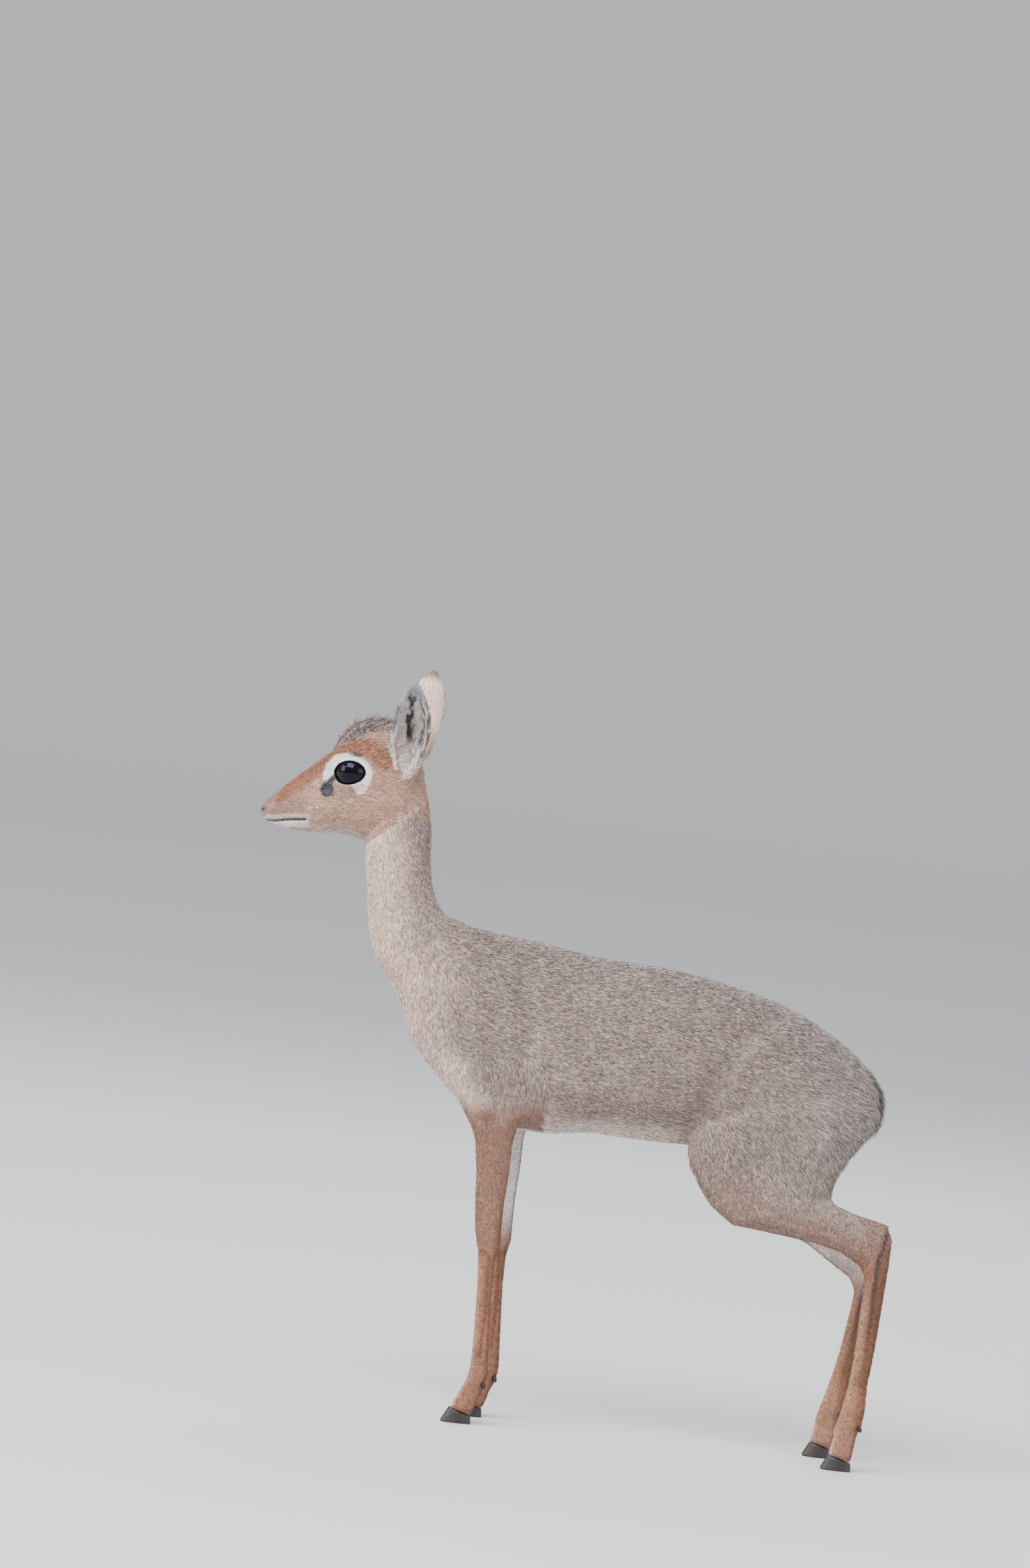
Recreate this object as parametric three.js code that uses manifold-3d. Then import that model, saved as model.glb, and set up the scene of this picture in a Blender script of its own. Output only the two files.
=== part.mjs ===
// A dik-dik standing still, at life size: millimetres, +Z up, facing -X, its left side facing -Y.
// Its flesh is a set of lofted bodies joined into one, then parted by thin cuts into named pieces.
// Outlines reach the tips of the coat. Points in the side view are written [x, z].

import * as THREE from 'three';
import { LoftGeometry } from 'three/addons/geometries/LoftGeometry.js';
import { mergeVertices } from 'three/addons/utils/BufferGeometryUtils.js';
import Module from 'manifold-3d';

const wasm = await Module();
wasm.setup();

// Driving dimensions
const cutGap = 0.3;
const headTurn = THREE.MathUtils.degToRad(-6);
const headPivot = new THREE.Vector3(-245, 0, 440);

const eyeRadius = 14;
const eyeCentre = new THREE.Vector3(-285, 16.8, 479.3);
const eyeForward = THREE.MathUtils.degToRad(10);
const eyeUpward = THREE.MathUtils.degToRad(7);
const eyeOpening = { length: 24, height: 19.5, frontLower: THREE.MathUtils.degToRad(11) };

const earLength = 82.5;
const earHalfWidth = 15.6;
const earThickness = 2.2;
const earOpensForward = THREE.MathUtils.degToRad(14);
const ears = {
  left: { root: [-245.8, -16.5, 482.5], lean: 0.09, tilt: THREE.MathUtils.degToRad(29) },
  right: { root: [-248, 16.5, 484.5], lean: 0.12, tilt: THREE.MathUtils.degToRad(19) },
};

const forefootAside = 28;
const hindfootAside = 37;
const rightForelegBack = 8;
const rightHindfootForward = 12;
const rightHockLower = 17;

const hoof = {
  length: 23.5, topLength: 17.4, setBack: 2.5, width: 8.6, toeHeight: 11, heelHeight: 6, spread: 9.9, turnOut: 0.06,
};
const dewclaw = { length: 6.6, radius: 2.1, spread: 8 };

// Body outlines, landmark by landmark.
// A landmark has two points of the side outline (under or front, then over or back), the body's
// half width there, how far its middle lies from the animal's middle plane, and how much fuller
// the section is towards its second point.
const mark = (first, second, halfWidth, aside = 0, fuller = 0) => ({ first, second, halfWidth, aside, fuller });

const torsoMarks = [
  mark([-270, 446], [-233, 483], 19),              // behind the jaw, inside the head
  mark([-271, 420], [-223.4, 449], 21.5),          // throat
  mark([-267, 397], [-220, 423], 21.5),            // upper neck
  mark([-263, 370], [-215.5, 400], 22, 0, 0.05),   // lower neck
  mark([-254, 340], [-205, 381.5], 25, 0, 0.05),   // root of the neck
  mark([-232, 313], [-178, 373], 32, 0, 0.04),     // withers and point of the shoulder
  mark([-221, 285], [-146, 370], 38),              // shoulder
  mark([-201, 262], [-115, 366.5], 42, 0, -0.08),  // breast
  mark([-167, 231], [-84, 362.5], 47, 0, -0.12),   // elbow
  mark([-124, 222.5], [-58, 361.8], 53, 0, -0.14), // girth
  mark([-75, 228], [-28, 360.5], 58, 0, -0.15),    // ribs
  mark([-32, 227], [4, 356], 59, 0, -0.12),        // belly
  mark([2, 228], [32, 350.3], 55, 0, -0.06),       // flank
  mark([40, 226], [66, 341], 51, 0, 0.04),         // hip
  mark([80, 226], [98, 325.5], 49, 0, 0.04),       // croup
  mark([112, 236], [124, 307], 43),                // above the tail
  mark([132, 256], [137, 290], 29),                // under the tail
];

const headMarks = [
  mark([-353.4, 438.6], [-353.6, 446], 5),         // tip of the nose
  mark([-350.3, 433.8], [-349, 451], 9.5),         // nostrils
  mark([-341, 431.4], [-340, 460.3], 12),          // lips
  mark([-326, 428.6], [-326, 473.4], 15, 0, -0.1), // muzzle
  mark([-309, 428.8], [-310, 488], 19.5, 0, 0.08), // under the eye's front corner
  mark([-290, 430.5], [-293, 504.5], 25.2, 0, 0.2), // brow
  mark([-272, 428], [-277, 515.5], 26.8, 0, 0.22), // temple and cheek
  mark([-256, 428], [-260, 521.5], 25.5, 0, 0.1),  // crown and angle of the jaw
  mark([-244, 436], [-244.5, 515], 23),            // poll
  mark([-235, 452], [-236, 492], 14),              // back of the head
];

const crestMarks = [
  mark([-306, 486], [-304, 494], 5),               // first long hairs
  mark([-299, 492], [-297.5, 505.5], 8),
  mark([-287, 498], [-287, 517], 9.5),             // fullest
  mark([-272, 508], [-272, 521.5], 9),
  mark([-258, 512], [-258, 520], 6),               // last long hairs
];

const tailMarks = [
  mark([118, 284], [127, 301], 7),                 // root
  mark([126, 276], [139, 292], 7.5),
  mark([131, 268], [145.5, 276], 7),
  mark([132, 262], [144.5, 262], 5.5),
  mark([134, 255], [142, 254], 3.5),               // tip
];

const forelegMarks = [
  mark([-176, 338], [-146, 338], 7, 27),           // shoulder blade
  mark([-200, 300], [-132, 306], 11.5, 30),        // point of the shoulder
  mark([-194, 264], [-119, 268], 13, 31),          // upper arm
  mark([-176, 240], [-121, 245], 12, 31),          // elbow
  mark([-164.5, 221], [-129.3, 224], 10, 29),      // forearm
  mark([-157.5, 190], [-131.4, 191], 8.6, forefootAside),
  mark([-154.8, 160], [-133, 160], 7.6, forefootAside),
  mark([-150.5, 138], [-131.8, 138], 8.2, forefootAside), // knee
  mark([-147, 120], [-134.8, 120], 6.8, forefootAside),
  mark([-145, 85], [-132.8, 85], 5.8, forefootAside),     // cannon
  mark([-143.6, 50], [-130.2, 50], 6.4, forefootAside),
  mark([-145, 35], [-129.5, 35], 8, forefootAside),       // fetlock
  mark([-150, 24], [-133, 23], 7.4, forefootAside),       // pastern
];

const hindlegMarks = [
  mark([22, 306], [104, 312], 10, 27),             // hip
  mark([-2, 262], [138, 282], 21, 30),             // top of the thigh
  mark([-1, 218], [142.5, 262], 22, 31),           // thigh
  mark([14, 197], [122, 233], 20, 32),             // above the stifle
  mark([35, 176], [113, 207], 17.5, 34),           // stifle
  mark([84, 171], [119, 199], 12.5, 36),           // gaskin
  mark([119, 165.8], [142, 193], 9.6, hindfootAside),
  mark([141, 154], [160, 188], 8.8, hindfootAside),    // hock
  mark([144.4, 140], [162, 166], 8.4, hindfootAside),
  mark([144, 118], [160.8, 134], 7, hindfootAside),
  mark([143.8, 92], [159.4, 96], 6.3, hindfootAside),  // cannon
  mark([141.8, 62], [156.8, 64], 6.6, hindfootAside),
  mark([138.2, 42], [157.6, 42], 8.4, hindfootAside),  // fetlock
  mark([134.6, 27], [153, 27], 7.6, hindfootAside),    // pastern
];

// A toe's landmarks are measured from the middle of its hoof, and its aside is the share of the
// hoof's own that it has reached there.
const foretoeMarks = [
  mark([8, 40], [18, 41], 3.2, 0.35),
  mark([0.5, 25], [17, 24], 4.4, 0.72),
  mark([-4.5, 15], [14, 12], 4.6, 0.95),
  mark([-7.5, 7], [11, 3.5], 4.1, 1),
];
const hindtoeMarks = [
  mark([2, 46], [15, 47], 3.2, 0.35),
  mark([-4, 29], [14, 28], 4.5, 0.72),
  mark([-6.4, 17], [12.6, 14], 4.7, 0.95),
  mark([-8, 8], [11, 3.5], 4.1, 1),
];

const forefootX = -150;
const hindfootX = 140;

// Materials
const finish = (color, roughness) => new THREE.MeshStandardMaterial({ color, roughness, metalness: 0 });
const greyBrownCoat = finish(0x8f8175, 0.9);
const buffCoat = finish(0xb59f8c, 0.9);
const rufousCoat = finish(0xa9754f, 0.9);
const darkCoat = finish(0x5b534e, 0.9);
const hoofHorn = finish(0x2b2624, 0.5);
const noseSkin = finish(0x8d6f66, 0.6);
const wetEye = finish(0x120d0b, 0.08);

// Solids
function solid(geometry) {
  const bare = new THREE.BufferGeometry();
  bare.setAttribute('position', geometry.getAttribute('position'));
  bare.setIndex(geometry.getIndex());
  const merged = mergeVertices(bare, 1e-3);
  return new wasm.Manifold(new wasm.Mesh({
    numProp: 3,
    vertProperties: new Float32Array(merged.attributes.position.array),
    triVerts: new Uint32Array(merged.index.array),
  }));
}

function geometryOf(body) {
  const { vertProperties, triVerts } = body.getMesh();
  const geometry = new THREE.BufferGeometry();
  geometry.setAttribute('position', new THREE.BufferAttribute(new Float32Array(vertProperties), 3));
  geometry.setIndex(new THREE.BufferAttribute(new Uint32Array(triVerts), 1));
  geometry.computeVertexNormals();
  return geometry;
}

const joined = (bodies) => bodies.reduce((sum, body) => sum.add(body));
const shared = (bodies) => bodies.reduce((common, body) => common.intersect(body));

// Everything beyond a plane through a point, on the side that its normal points to.
function beyond(point, normal, gap) {
  const size = 1600;
  const geometry = new THREE.BoxGeometry(size, size, size);
  geometry.translate(0, 0, size / 2 - gap);
  const heading = new THREE.Vector3(...normal).normalize();
  geometry.applyQuaternion(new THREE.Quaternion().setFromUnitVectors(new THREE.Vector3(0, 0, 1), heading));
  geometry.translate(...point);
  return solid(geometry);
}

// Parts a body in two along a region's planes, with the cut's gap between them.
function parted(body, planes) {
  const region = (gap) => shared(planes.map(([point, normal]) => beyond(point, normal, gap)));
  return [body.intersect(region(0)), body.subtract(region(cutGap))];
}

function power(value, exponent) {
  return Math.sign(value) * Math.abs(value) ** exponent;
}

// Loft of nearly elliptical sections through the landmarks, each grown by a margin, with rounded
// ends where a bulge is given.
function loft(marks, { sides, rings, bulges = [0, 0], margin = 0 }) {
  const square = 2.15;
  const domeSteps = 2;
  const domeArc = THREE.MathUtils.degToRad(86);
  const curveOf = (pick) => new THREE.CatmullRomCurve3(marks.map(pick), false, 'catmullrom', 0.5);
  const first = curveOf((m) => new THREE.Vector3(m.first[0], m.aside, m.first[1]));
  const second = curveOf((m) => new THREE.Vector3(m.second[0], m.aside, m.second[1]));
  const across = curveOf((m) => new THREE.Vector3(m.halfWidth, m.fuller, 0));
  const middle = (t) => first.getPoint(t).add(second.getPoint(t)).multiplyScalar(0.5);

  function section(t, scale, shift) {
    const centre = middle(t).add(shift);
    const reach = second.getPoint(t).sub(first.getPoint(t)).multiplyScalar(0.5);
    reach.setLength(reach.length() * scale + margin);
    const { x: halfWidth, y: fuller } = across.getPoint(t);
    return Array.from({ length: sides }, (_, i) => {
      const angle = (2 * Math.PI * i) / sides;
      const along = power(Math.cos(angle), 2 / square);
      const aside = power(Math.sin(angle), 2 / square) * (halfWidth * scale * (1 + fuller * along) + margin);
      return centre.clone().addScaledVector(reach, along).add(new THREE.Vector3(0, -aside, 0));
    });
  }

  function dome(t, bulge, heading) {
    return Array.from({ length: domeSteps }, (_, i) => {
      const angle = ((i + 1) / domeSteps) * domeArc;
      return section(t, Math.cos(angle), heading.clone().multiplyScalar((bulge + margin) * Math.sin(angle)));
    });
  }

  const step = 0.01;
  const headingAt = (t) => middle(Math.min(t + step, 1)).sub(middle(Math.max(t - step, 0))).normalize();
  const sections = Array.from({ length: rings + 1 }, (_, i) => section(i / rings, 1, new THREE.Vector3()));
  if (bulges[0] > 0) {
    sections.unshift(...dome(0, bulges[0], headingAt(0).negate()).reverse());
  }
  if (bulges[1] > 0) {
    sections.push(...dome(1, bulges[1], headingAt(1)));
  }
  return new LoftGeometry(sections, { capStart: true, capEnd: true });
}

// The head is made facing straight ahead and turned at the poll.
function turned(geometry) {
  geometry.translate(-headPivot.x, -headPivot.y, -headPivot.z);
  geometry.rotateZ(headTurn);
  geometry.translate(headPivot.x, headPivot.y, headPivot.z);
  return geometry;
}

// Where an eye lies and looks: its axis is +Y of its own frame.
function eyeFrame(side) {
  const looks = new THREE.Vector3(-Math.sin(eyeForward), side * Math.cos(eyeForward), Math.sin(eyeUpward));
  looks.normalize();
  const level = new THREE.Vector3().crossVectors(looks, new THREE.Vector3(0, 0, 1)).normalize();
  const upright = new THREE.Vector3().crossVectors(level, looks);
  return new THREE.Matrix4().makeBasis(level, looks, upright)
    .setPosition(eyeCentre.x, side * eyeCentre.y, eyeCentre.z);
}

// An eyeball: round in front, flatter behind.
function eyeGeometry(side, margin) {
  const steps = 7;
  const flatter = 0.5;
  const profile = Array.from({ length: steps + 1 }, (_, i) => {
    const angle = (i / steps - 0.5) * Math.PI;
    const radius = eyeRadius + margin;
    const depth = Math.sin(angle) * (angle < 0 ? flatter : 1);
    return new THREE.Vector2(i % steps === 0 ? 0 : Math.cos(angle) * radius, depth * radius);
  });
  return turned(new THREE.LatheGeometry(profile, 13).applyMatrix4(eyeFrame(side)));
}

// The space between the lids in front of an eyeball, wider outwards.
function openingGeometry(side) {
  const flare = 1.3;
  const depth = 22;
  const halfLength = eyeOpening.length / 2;
  const geometry = new THREE.CylinderGeometry(halfLength * flare, halfLength, depth, 12);
  geometry.scale(1, 1, eyeOpening.height / eyeOpening.length);
  geometry.rotateY(-side * eyeOpening.frontLower);
  geometry.translate(0, depth / 2 + 6, 0);
  return turned(geometry.applyMatrix4(eyeFrame(side)));
}

// An ear: a leaf rolled about its length, tight at the root and open above.
function earGeometry(side, { root, lean, tilt }) {
  const shape = new THREE.CatmullRomCurve3([
    [0.5, 3, 0], [0.88, 2.15, 0.25], [1, 1.5, 0.48], [0.9, 1.2, 0.7], [0.58, 0.85, 0.88], [0.14, 0.6, 1],
  ].map(([width, halfArc, height]) => new THREE.Vector3(width, halfArc, height)));
  const rings = 10;
  const steps = 6;
  const upright = new THREE.Vector3(lean, side * Math.sin(tilt), Math.cos(tilt)).normalize();
  const outward = new THREE.Vector3(-Math.sin(earOpensForward), side * Math.cos(earOpensForward), 0);
  const opens = outward.clone().addScaledVector(upright, -outward.dot(upright)).normalize();
  const breadth = new THREE.Vector3().crossVectors(upright, opens);

  const sections = Array.from({ length: rings + 1 }, (_, ring) => {
    const { x: width, y: halfArc, z: height } = shape.getPoint(ring / rings);
    const bend = Math.min(halfArc, Math.PI / 2);
    const radius = (width * earHalfWidth) / Math.sin(bend);
    const thickness = Math.min(earThickness * (1.25 - 0.55 * height), radius * 0.6);
    const centre = new THREE.Vector3(...root)
      .addScaledVector(upright, height * earLength)
      .addScaledVector(opens, radius * Math.cos(bend) + 3 * height ** 2);
    const arc = (reach, from, to) => Array.from({ length: steps + 1 }, (_step, i) => {
      const angle = THREE.MathUtils.lerp(from, to, i / steps);
      return centre.clone()
        .addScaledVector(breadth, reach * Math.sin(angle))
        .addScaledVector(opens, -reach * Math.cos(angle));
    });
    return [...arc(radius, halfArc, -halfArc), ...arc(radius - thickness, -0.98 * halfArc, 0.98 * halfArc)];
  });
  return turned(new LoftGeometry(sections, { capStart: true, capEnd: true }));
}

// Marks moved to one side of the animal, and shifted by what a function of x and z gives.
function placed(marks, side, shift) {
  const moved = ([x, z]) => {
    const [forward, down] = shift(x, z);
    return [x - forward, z - down];
  };
  return marks.map((m) => ({ ...m, aside: side * m.aside, first: moved(m.first), second: moved(m.second) }));
}

// How the right legs stand against the left ones: forward, and lower.
const { smoothstep } = THREE.MathUtils;
const asMarked = () => [0, 0];
const rightForeleg = (x, z) => [-rightForelegBack * smoothstep(-z, -300, -230), 0];
const rightHindleg = (x, z) => [
  rightHindfootForward * smoothstep(-z, -215, -20),
  rightHockLower * smoothstep(x, 75, 130) * smoothstep(z, 40, 140) * smoothstep(-z, -260, -200),
];

// One toe's flesh, hoof or dewclaw, placed under its leg.
function toeGeometry(marks, foot, toe) {
  const own = marks.map((m) => ({
    ...m,
    aside: foot.y + m.aside * toe * hoof.spread / 2,
    first: [m.first[0] + foot.x, m.first[1]],
    second: [m.second[0] + foot.x, m.second[1]],
  }));
  return loft(own, { sides: 7, rings: 3 });
}

// A flat-soled, pointed hoof, higher at the toe than at the heel, with a front that slopes back.
function hoofGeometry(foot, toe, margin) {
  const points = 10;
  const levels = [0, 1];
  const sections = levels.map((level) => Array.from({ length: points }, (_, i) => {
    const angle = (2 * Math.PI * i) / points;
    const back = Math.cos(angle);
    const narrowing = back < 0 ? Math.sqrt(1 - 0.45 * back ** 2) : 1 - 0.12 * back;
    const length = THREE.MathUtils.lerp(hoof.length, hoof.topLength, level) / 2 + margin;
    const width = (hoof.width / 2) * (1 - 0.06 * level) * narrowing + margin;
    const height = THREE.MathUtils.lerp(hoof.toeHeight, hoof.heelHeight, (back + 1) / 2);
    const rise = level === 0 ? -margin : level * height + margin;
    return new THREE.Vector3(back * length + hoof.setBack * level, Math.sin(angle) * width, rise);
  }));
  const geometry = new LoftGeometry(sections, { capStart: true, capEnd: true });
  geometry.rotateZ(-toe * hoof.turnOut);
  return geometry.translate(foot.x, foot.y + toe * hoof.spread / 2, 0);
}

// A small blunt claw that hangs behind the fetlock.
function dewclawGeometry(foot, toe, margin) {
  const { length, radius, spread } = dewclaw;
  const profile = [[0, 0], [1, 0.15], [0.8, 0.7], [0, 1]]
    .map(([out, down]) => new THREE.Vector2(out * (radius + margin), down * (length + 2 * margin) - margin));
  const geometry = new THREE.LatheGeometry(profile, 6);
  geometry.rotateX(-Math.PI / 2);
  geometry.rotateY(THREE.MathUtils.degToRad(-25));
  return geometry.translate(foot.x + foot.clawX, foot.y + toe * spread / 2, foot.clawZ);
}

const sides = { left: -1, right: 1 };
const forefoot = { marks: foretoeMarks, clawX: 17, clawZ: 33 };
const hindfoot = { marks: hindtoeMarks, clawX: 13.5, clawZ: 36 };
const feet = {
  fore_left: { ...forefoot, x: forefootX, y: -forefootAside },
  fore_right: { ...forefoot, x: forefootX + rightForelegBack, y: forefootAside },
  hind_left: { ...hindfoot, x: hindfootX, y: -hindfootAside },
  hind_right: { ...hindfoot, x: hindfootX - rightHindfootForward, y: hindfootAside },
};
const toes = { inner: 1, outer: -1 };

const group = new THREE.Group();
function add(name, body, material) {
  const mesh = new THREE.Mesh(geometryOf(body), material);
  mesh.name = name;
  group.add(mesh);
}

// Flesh, whole
const torsoShape = { sides: 22, rings: 24, bulges: [0, 4] };
const skullShape = { sides: 20, rings: 17, bulges: [1, 4] };
const skull = solid(turned(loft(headMarks, skullShape)));
const grownSkull = solid(turned(loft(headMarks, { ...skullShape, margin: cutGap })));
const grownTorso = solid(loft(torsoMarks, { ...torsoShape, margin: cutGap }));
const bodies = [
  solid(loft(torsoMarks, torsoShape)),
  skull,
  solid(turned(loft(crestMarks, { sides: 8, rings: 6, bulges: [1, 3] }))),
  solid(loft(tailMarks, { sides: 8, rings: 6, bulges: [0, 1.5] })),
];
for (const side of Object.values(sides)) {
  const right = side > 0;
  bodies.push(solid(loft(placed(forelegMarks, side, right ? rightForeleg : asMarked), { sides: 11, rings: 17 })));
  bodies.push(solid(loft(placed(hindlegMarks, side, right ? rightHindleg : asMarked), { sides: 12, rings: 19 })));
}
for (const foot of Object.values(feet)) {
  for (const toe of Object.values(toes)) {
    bodies.push(solid(toeGeometry(foot.marks, foot, toe)));
  }
}
let flesh = joined(bodies);

// Eyes, hooves and dewclaws, each in its own socket
for (const [name, side] of Object.entries(sides)) {
  add(`eye_${name}`, solid(eyeGeometry(side, 0)), wetEye);
  flesh = flesh.subtract(solid(eyeGeometry(side, cutGap))).subtract(solid(openingGeometry(side)));
}
for (const [name, foot] of Object.entries(feet)) {
  for (const [which, toe] of Object.entries(toes)) {
    const outward = toe * -Math.sign(foot.y);
    add(`hoof_${name}_${which}`, solid(hoofGeometry(foot, outward, 0)), hoofHorn);
    flesh = flesh.subtract(solid(hoofGeometry(foot, outward, cutGap)));
    add(`dewclaw_${name}_${which}`, solid(dewclawGeometry(foot, outward, 0)), hoofHorn);
    flesh = flesh.subtract(solid(dewclawGeometry(foot, outward, cutGap)));
  }
}

// Ears stand on the skull.
for (const [name, side] of Object.entries(sides)) {
  const ear = solid(earGeometry(side, ears[name])).subtract(grownSkull).subtract(grownTorso);
  add(`ear_${name}`, ear, buffCoat);
}

// Legs, parted from the trunk by slanting cuts, and each in two at the knee or hock
let lower;
let upper;
for (const [name, side] of Object.entries(sides)) {
  const drop = side > 0 ? rightHockLower : 0;
  [upper, flesh] = parted(flesh, [
    [[0, side * 10, 218], [0, side * 72, -38]],
    [[0, side * 0.5, 0], [0, side, 0]],
    [[-112, 0, 0], [-1, 0, 0]],
  ]);
  [lower, upper] = parted(upper, [[[0, 0, 139], [0, 0, -1]]]);
  add(`upper_foreleg_${name}`, upper, greyBrownCoat);
  add(`lower_foreleg_${name}`, lower, rufousCoat);
  [upper, flesh] = parted(flesh, [
    [[0, side * 6, 205], [0, side * 95, -52]],
    [[0, side * 0.5, 0], [0, side, 0]],
    [[-8, 0, 230], [1, 0, -0.25]],
  ]);
  [lower, upper] = parted(upper, [[[150.5 - drop / 2, 0, 171 - drop], [34, 0, -19]]]);
  add(`upper_hindleg_${name}`, upper, greyBrownCoat);
  add(`lower_hindleg_${name}`, lower, rufousCoat);
}

// Tail, head and neck
let tail;
let head;
let nose;
let jaw;
let neck;
[tail, flesh] = parted(flesh, [[[126, 0, 279.5], [51, 0, 10]], [[0, -9, 0], [0, 1, 0]], [[0, 9, 0], [0, -1, 0]]]);
[head, flesh] = parted(flesh, [[[-251, 0, 446], [-1, 0, 1]]]);
[nose, head] = parted(head, [[[-346.5, 0, 440], [-1, 0, 0.25]]]);
[jaw, head] = parted(head, [[[-317, 0, 438.3], [0.08, 0, -1]], [[-317, 0, 438.3], [-13.3, 0, -41]]]);
[neck, flesh] = parted(flesh, [[[-222, 0, 355.5], [-43, 0, 61]]]);
add('tail', tail, darkCoat);
add('nose', nose, noseSkin);
add('lower_jaw', jaw, buffCoat);
add('head', head, buffCoat);
add('neck', neck, buffCoat);
add('trunk', flesh, greyBrownCoat);

// The origin is at the middle of the floor under the animal.
const bounds = new THREE.Box3().setFromObject(group);
const middle = bounds.getCenter(new THREE.Vector3());
group.children.forEach((mesh) => mesh.geometry.translate(-middle.x, -middle.y, -bounds.min.z));

export default group;
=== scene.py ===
"""A dik-dik at life size: a sculpted skin, a coat of small tufts, wet eyes and hooves of horn.

Lengths are in millimetres, and on the stage in metres. The animal faces -X and its left side faces -Y.
Head coordinates have their origin at the pivot behind the jaw and are read before the head is turned.
"""

import math

import bpy
import numpy as np
import openvdb
from bpy.props import FloatProperty, FloatVectorProperty, IntProperty, PointerProperty
from mathutils import Matrix, Vector
from mathutils.bvhtree import BVHTree


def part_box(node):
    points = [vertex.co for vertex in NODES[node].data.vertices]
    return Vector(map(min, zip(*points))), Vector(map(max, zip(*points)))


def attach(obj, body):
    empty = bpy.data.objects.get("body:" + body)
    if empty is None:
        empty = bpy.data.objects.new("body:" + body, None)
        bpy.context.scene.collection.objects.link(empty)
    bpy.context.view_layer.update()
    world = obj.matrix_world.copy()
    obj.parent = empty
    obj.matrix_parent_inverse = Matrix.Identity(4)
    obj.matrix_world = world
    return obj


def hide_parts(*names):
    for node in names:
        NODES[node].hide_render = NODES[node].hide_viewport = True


bl_info = {
    "name": "Dik-dik",
    "version": (1, 0, 0),
    "blender": (4, 5, 0),
    "location": "View3D > Sidebar > Dik-dik",
    "description": "Builds the skin, coat, eyes, hooves and stage of a life-size dik-dik",
    "category": "Add Mesh",
}

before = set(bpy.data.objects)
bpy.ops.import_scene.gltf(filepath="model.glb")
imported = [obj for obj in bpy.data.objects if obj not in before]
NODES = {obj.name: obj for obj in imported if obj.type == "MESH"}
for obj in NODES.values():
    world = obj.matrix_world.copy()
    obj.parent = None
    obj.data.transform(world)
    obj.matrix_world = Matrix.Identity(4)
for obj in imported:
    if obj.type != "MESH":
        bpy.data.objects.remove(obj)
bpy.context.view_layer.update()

HARD_NODES = ("eye_", "hoof_", "dewclaw_")
FLESH_NODES = sorted(name for name in NODES if not name.startswith(HARD_NODES))
HOOF_NODES = sorted(name for name in NODES if name.startswith("hoof_"))
DEWCLAW_NODES = sorted(name for name in NODES if name.startswith("dewclaw_"))

METRE = 0.001

# The head: the pivot is in the part's millimetres, the rest in head coordinates
HEAD_PIVOT = np.array([-149.12, 0.34, 440.0])
HEAD_TURN = math.radians(-6)
EYE_CENTRE = np.array([-40.0, 16.8, 39.3])
EYE_RADIUS = 14.0
EYE_FORWARD = math.radians(10)
EYE_UPWARD = math.radians(7)
LID_HALF_LENGTH = 11.8
LID_HALF_HEIGHT = 8.5
LID_FRONT_LOWER = math.radians(11)
LID_LOWERED = 1.6
LID_THICKNESS = 1.5
EYE_RING = np.array([[-62.4, 31.0], [-61.6, 42.5], [-56.0, 49.8], [-42.2, 53.6], [-30.2, 49.6], [-24.4, 41.5],
                     [-25.8, 31.5], [-29.6, 24.8], [-33.2, 23.6], [-37.6, 28.0], [-40.0, 34.0], [-54.0, 34.0],
                     [-55.5, 31.6]])
CREST_X = [-80, -70, -55, -42, -25, -10]
CREST_Z = [33, 43, 55.5, 61, 64, 68]
GLAND = np.array([-57.8, 19.0, 24.0])
MOUTH = np.array([[-104.0, -5.6], [-97.0, -5.2], [-85.0, -2.6], [-72.5, -0.9]])
NOSTRIL = np.array([-106.2, 4.4, 2.6])
BROW = np.array([[-96.0, 16], [-89.9, 20.3], [-76, 32], [-62.3, 46.5], [-47.8, 56], [-27.7, 58.5], [-14, 51]])
TEAR_DUCT = np.array([[-58.0, 27.0], [-55.8, 31], [-53.0, 34.2]])
EARS = {
    "left": {"side": -1, "root": np.array([-0.8, -16.5, 42.5]), "lean": 0.09, "tilt": math.radians(29)},
    "right": {"side": 1, "root": np.array([-3.0, 16.5, 44.5]), "lean": 0.12, "tilt": math.radians(19)},
}
EAR_LENGTH = 82.5
EAR_OPENS_FORWARD = math.radians(14)

# The body's front outline, as x against z, and how far each foot stands from the middle plane
FRONT_Z = [231, 262, 285, 313, 340, 370, 397, 420, 446]
FRONT_X = [-71, -105, -125, -136, -158, -167, -171, -175, -174]
FEET_Y = {"fore_left": -27.67, "fore_right": 28.34, "hind_left": -36.66, "hind_right": 37.33}

# Where the head, the trunk and the lower legs are told apart, as limits in x and z
HEAD_FROM_Z = 430
HEAD_FIELD_X, HEAD_FIELD_Z = -100, 415
TRUNK_FIELD_Z = (185, 420)
LEG_FIELD_Z = 195


# Small helpers

def linear(code):
    """A hex sRGB colour as linear red, green and blue."""
    values = [int(code[i : i + 2], 16) / 255 for i in (1, 3, 5)]
    return tuple(v / 12.92 if v <= 0.04045 else ((v + 0.055) / 1.055) ** 2.4 for v in values)


def fade(value, start, end):
    """0 at start and 1 at end, which may be below start, and smooth between."""
    share = np.clip((value - start) / (end - start), 0, 1)
    return share * share * (3 - 2 * share)


def unit(vectors):
    """Vectors of the same direction, 1 long."""
    return vectors / np.maximum(np.linalg.norm(vectors, axis=-1, keepdims=True), 1e-9)


def turned(vectors, angle):
    """Vectors turned about the upright axis."""
    c, s = math.cos(angle), math.sin(angle)
    x, y, z = vectors[..., 0], vectors[..., 1], vectors[..., 2]
    return np.stack([x * c - y * s, x * s + y * c, z], -1)


def to_head(points):
    """Part millimetres to head coordinates."""
    return turned(points - HEAD_PIVOT, -HEAD_TURN)


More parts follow.
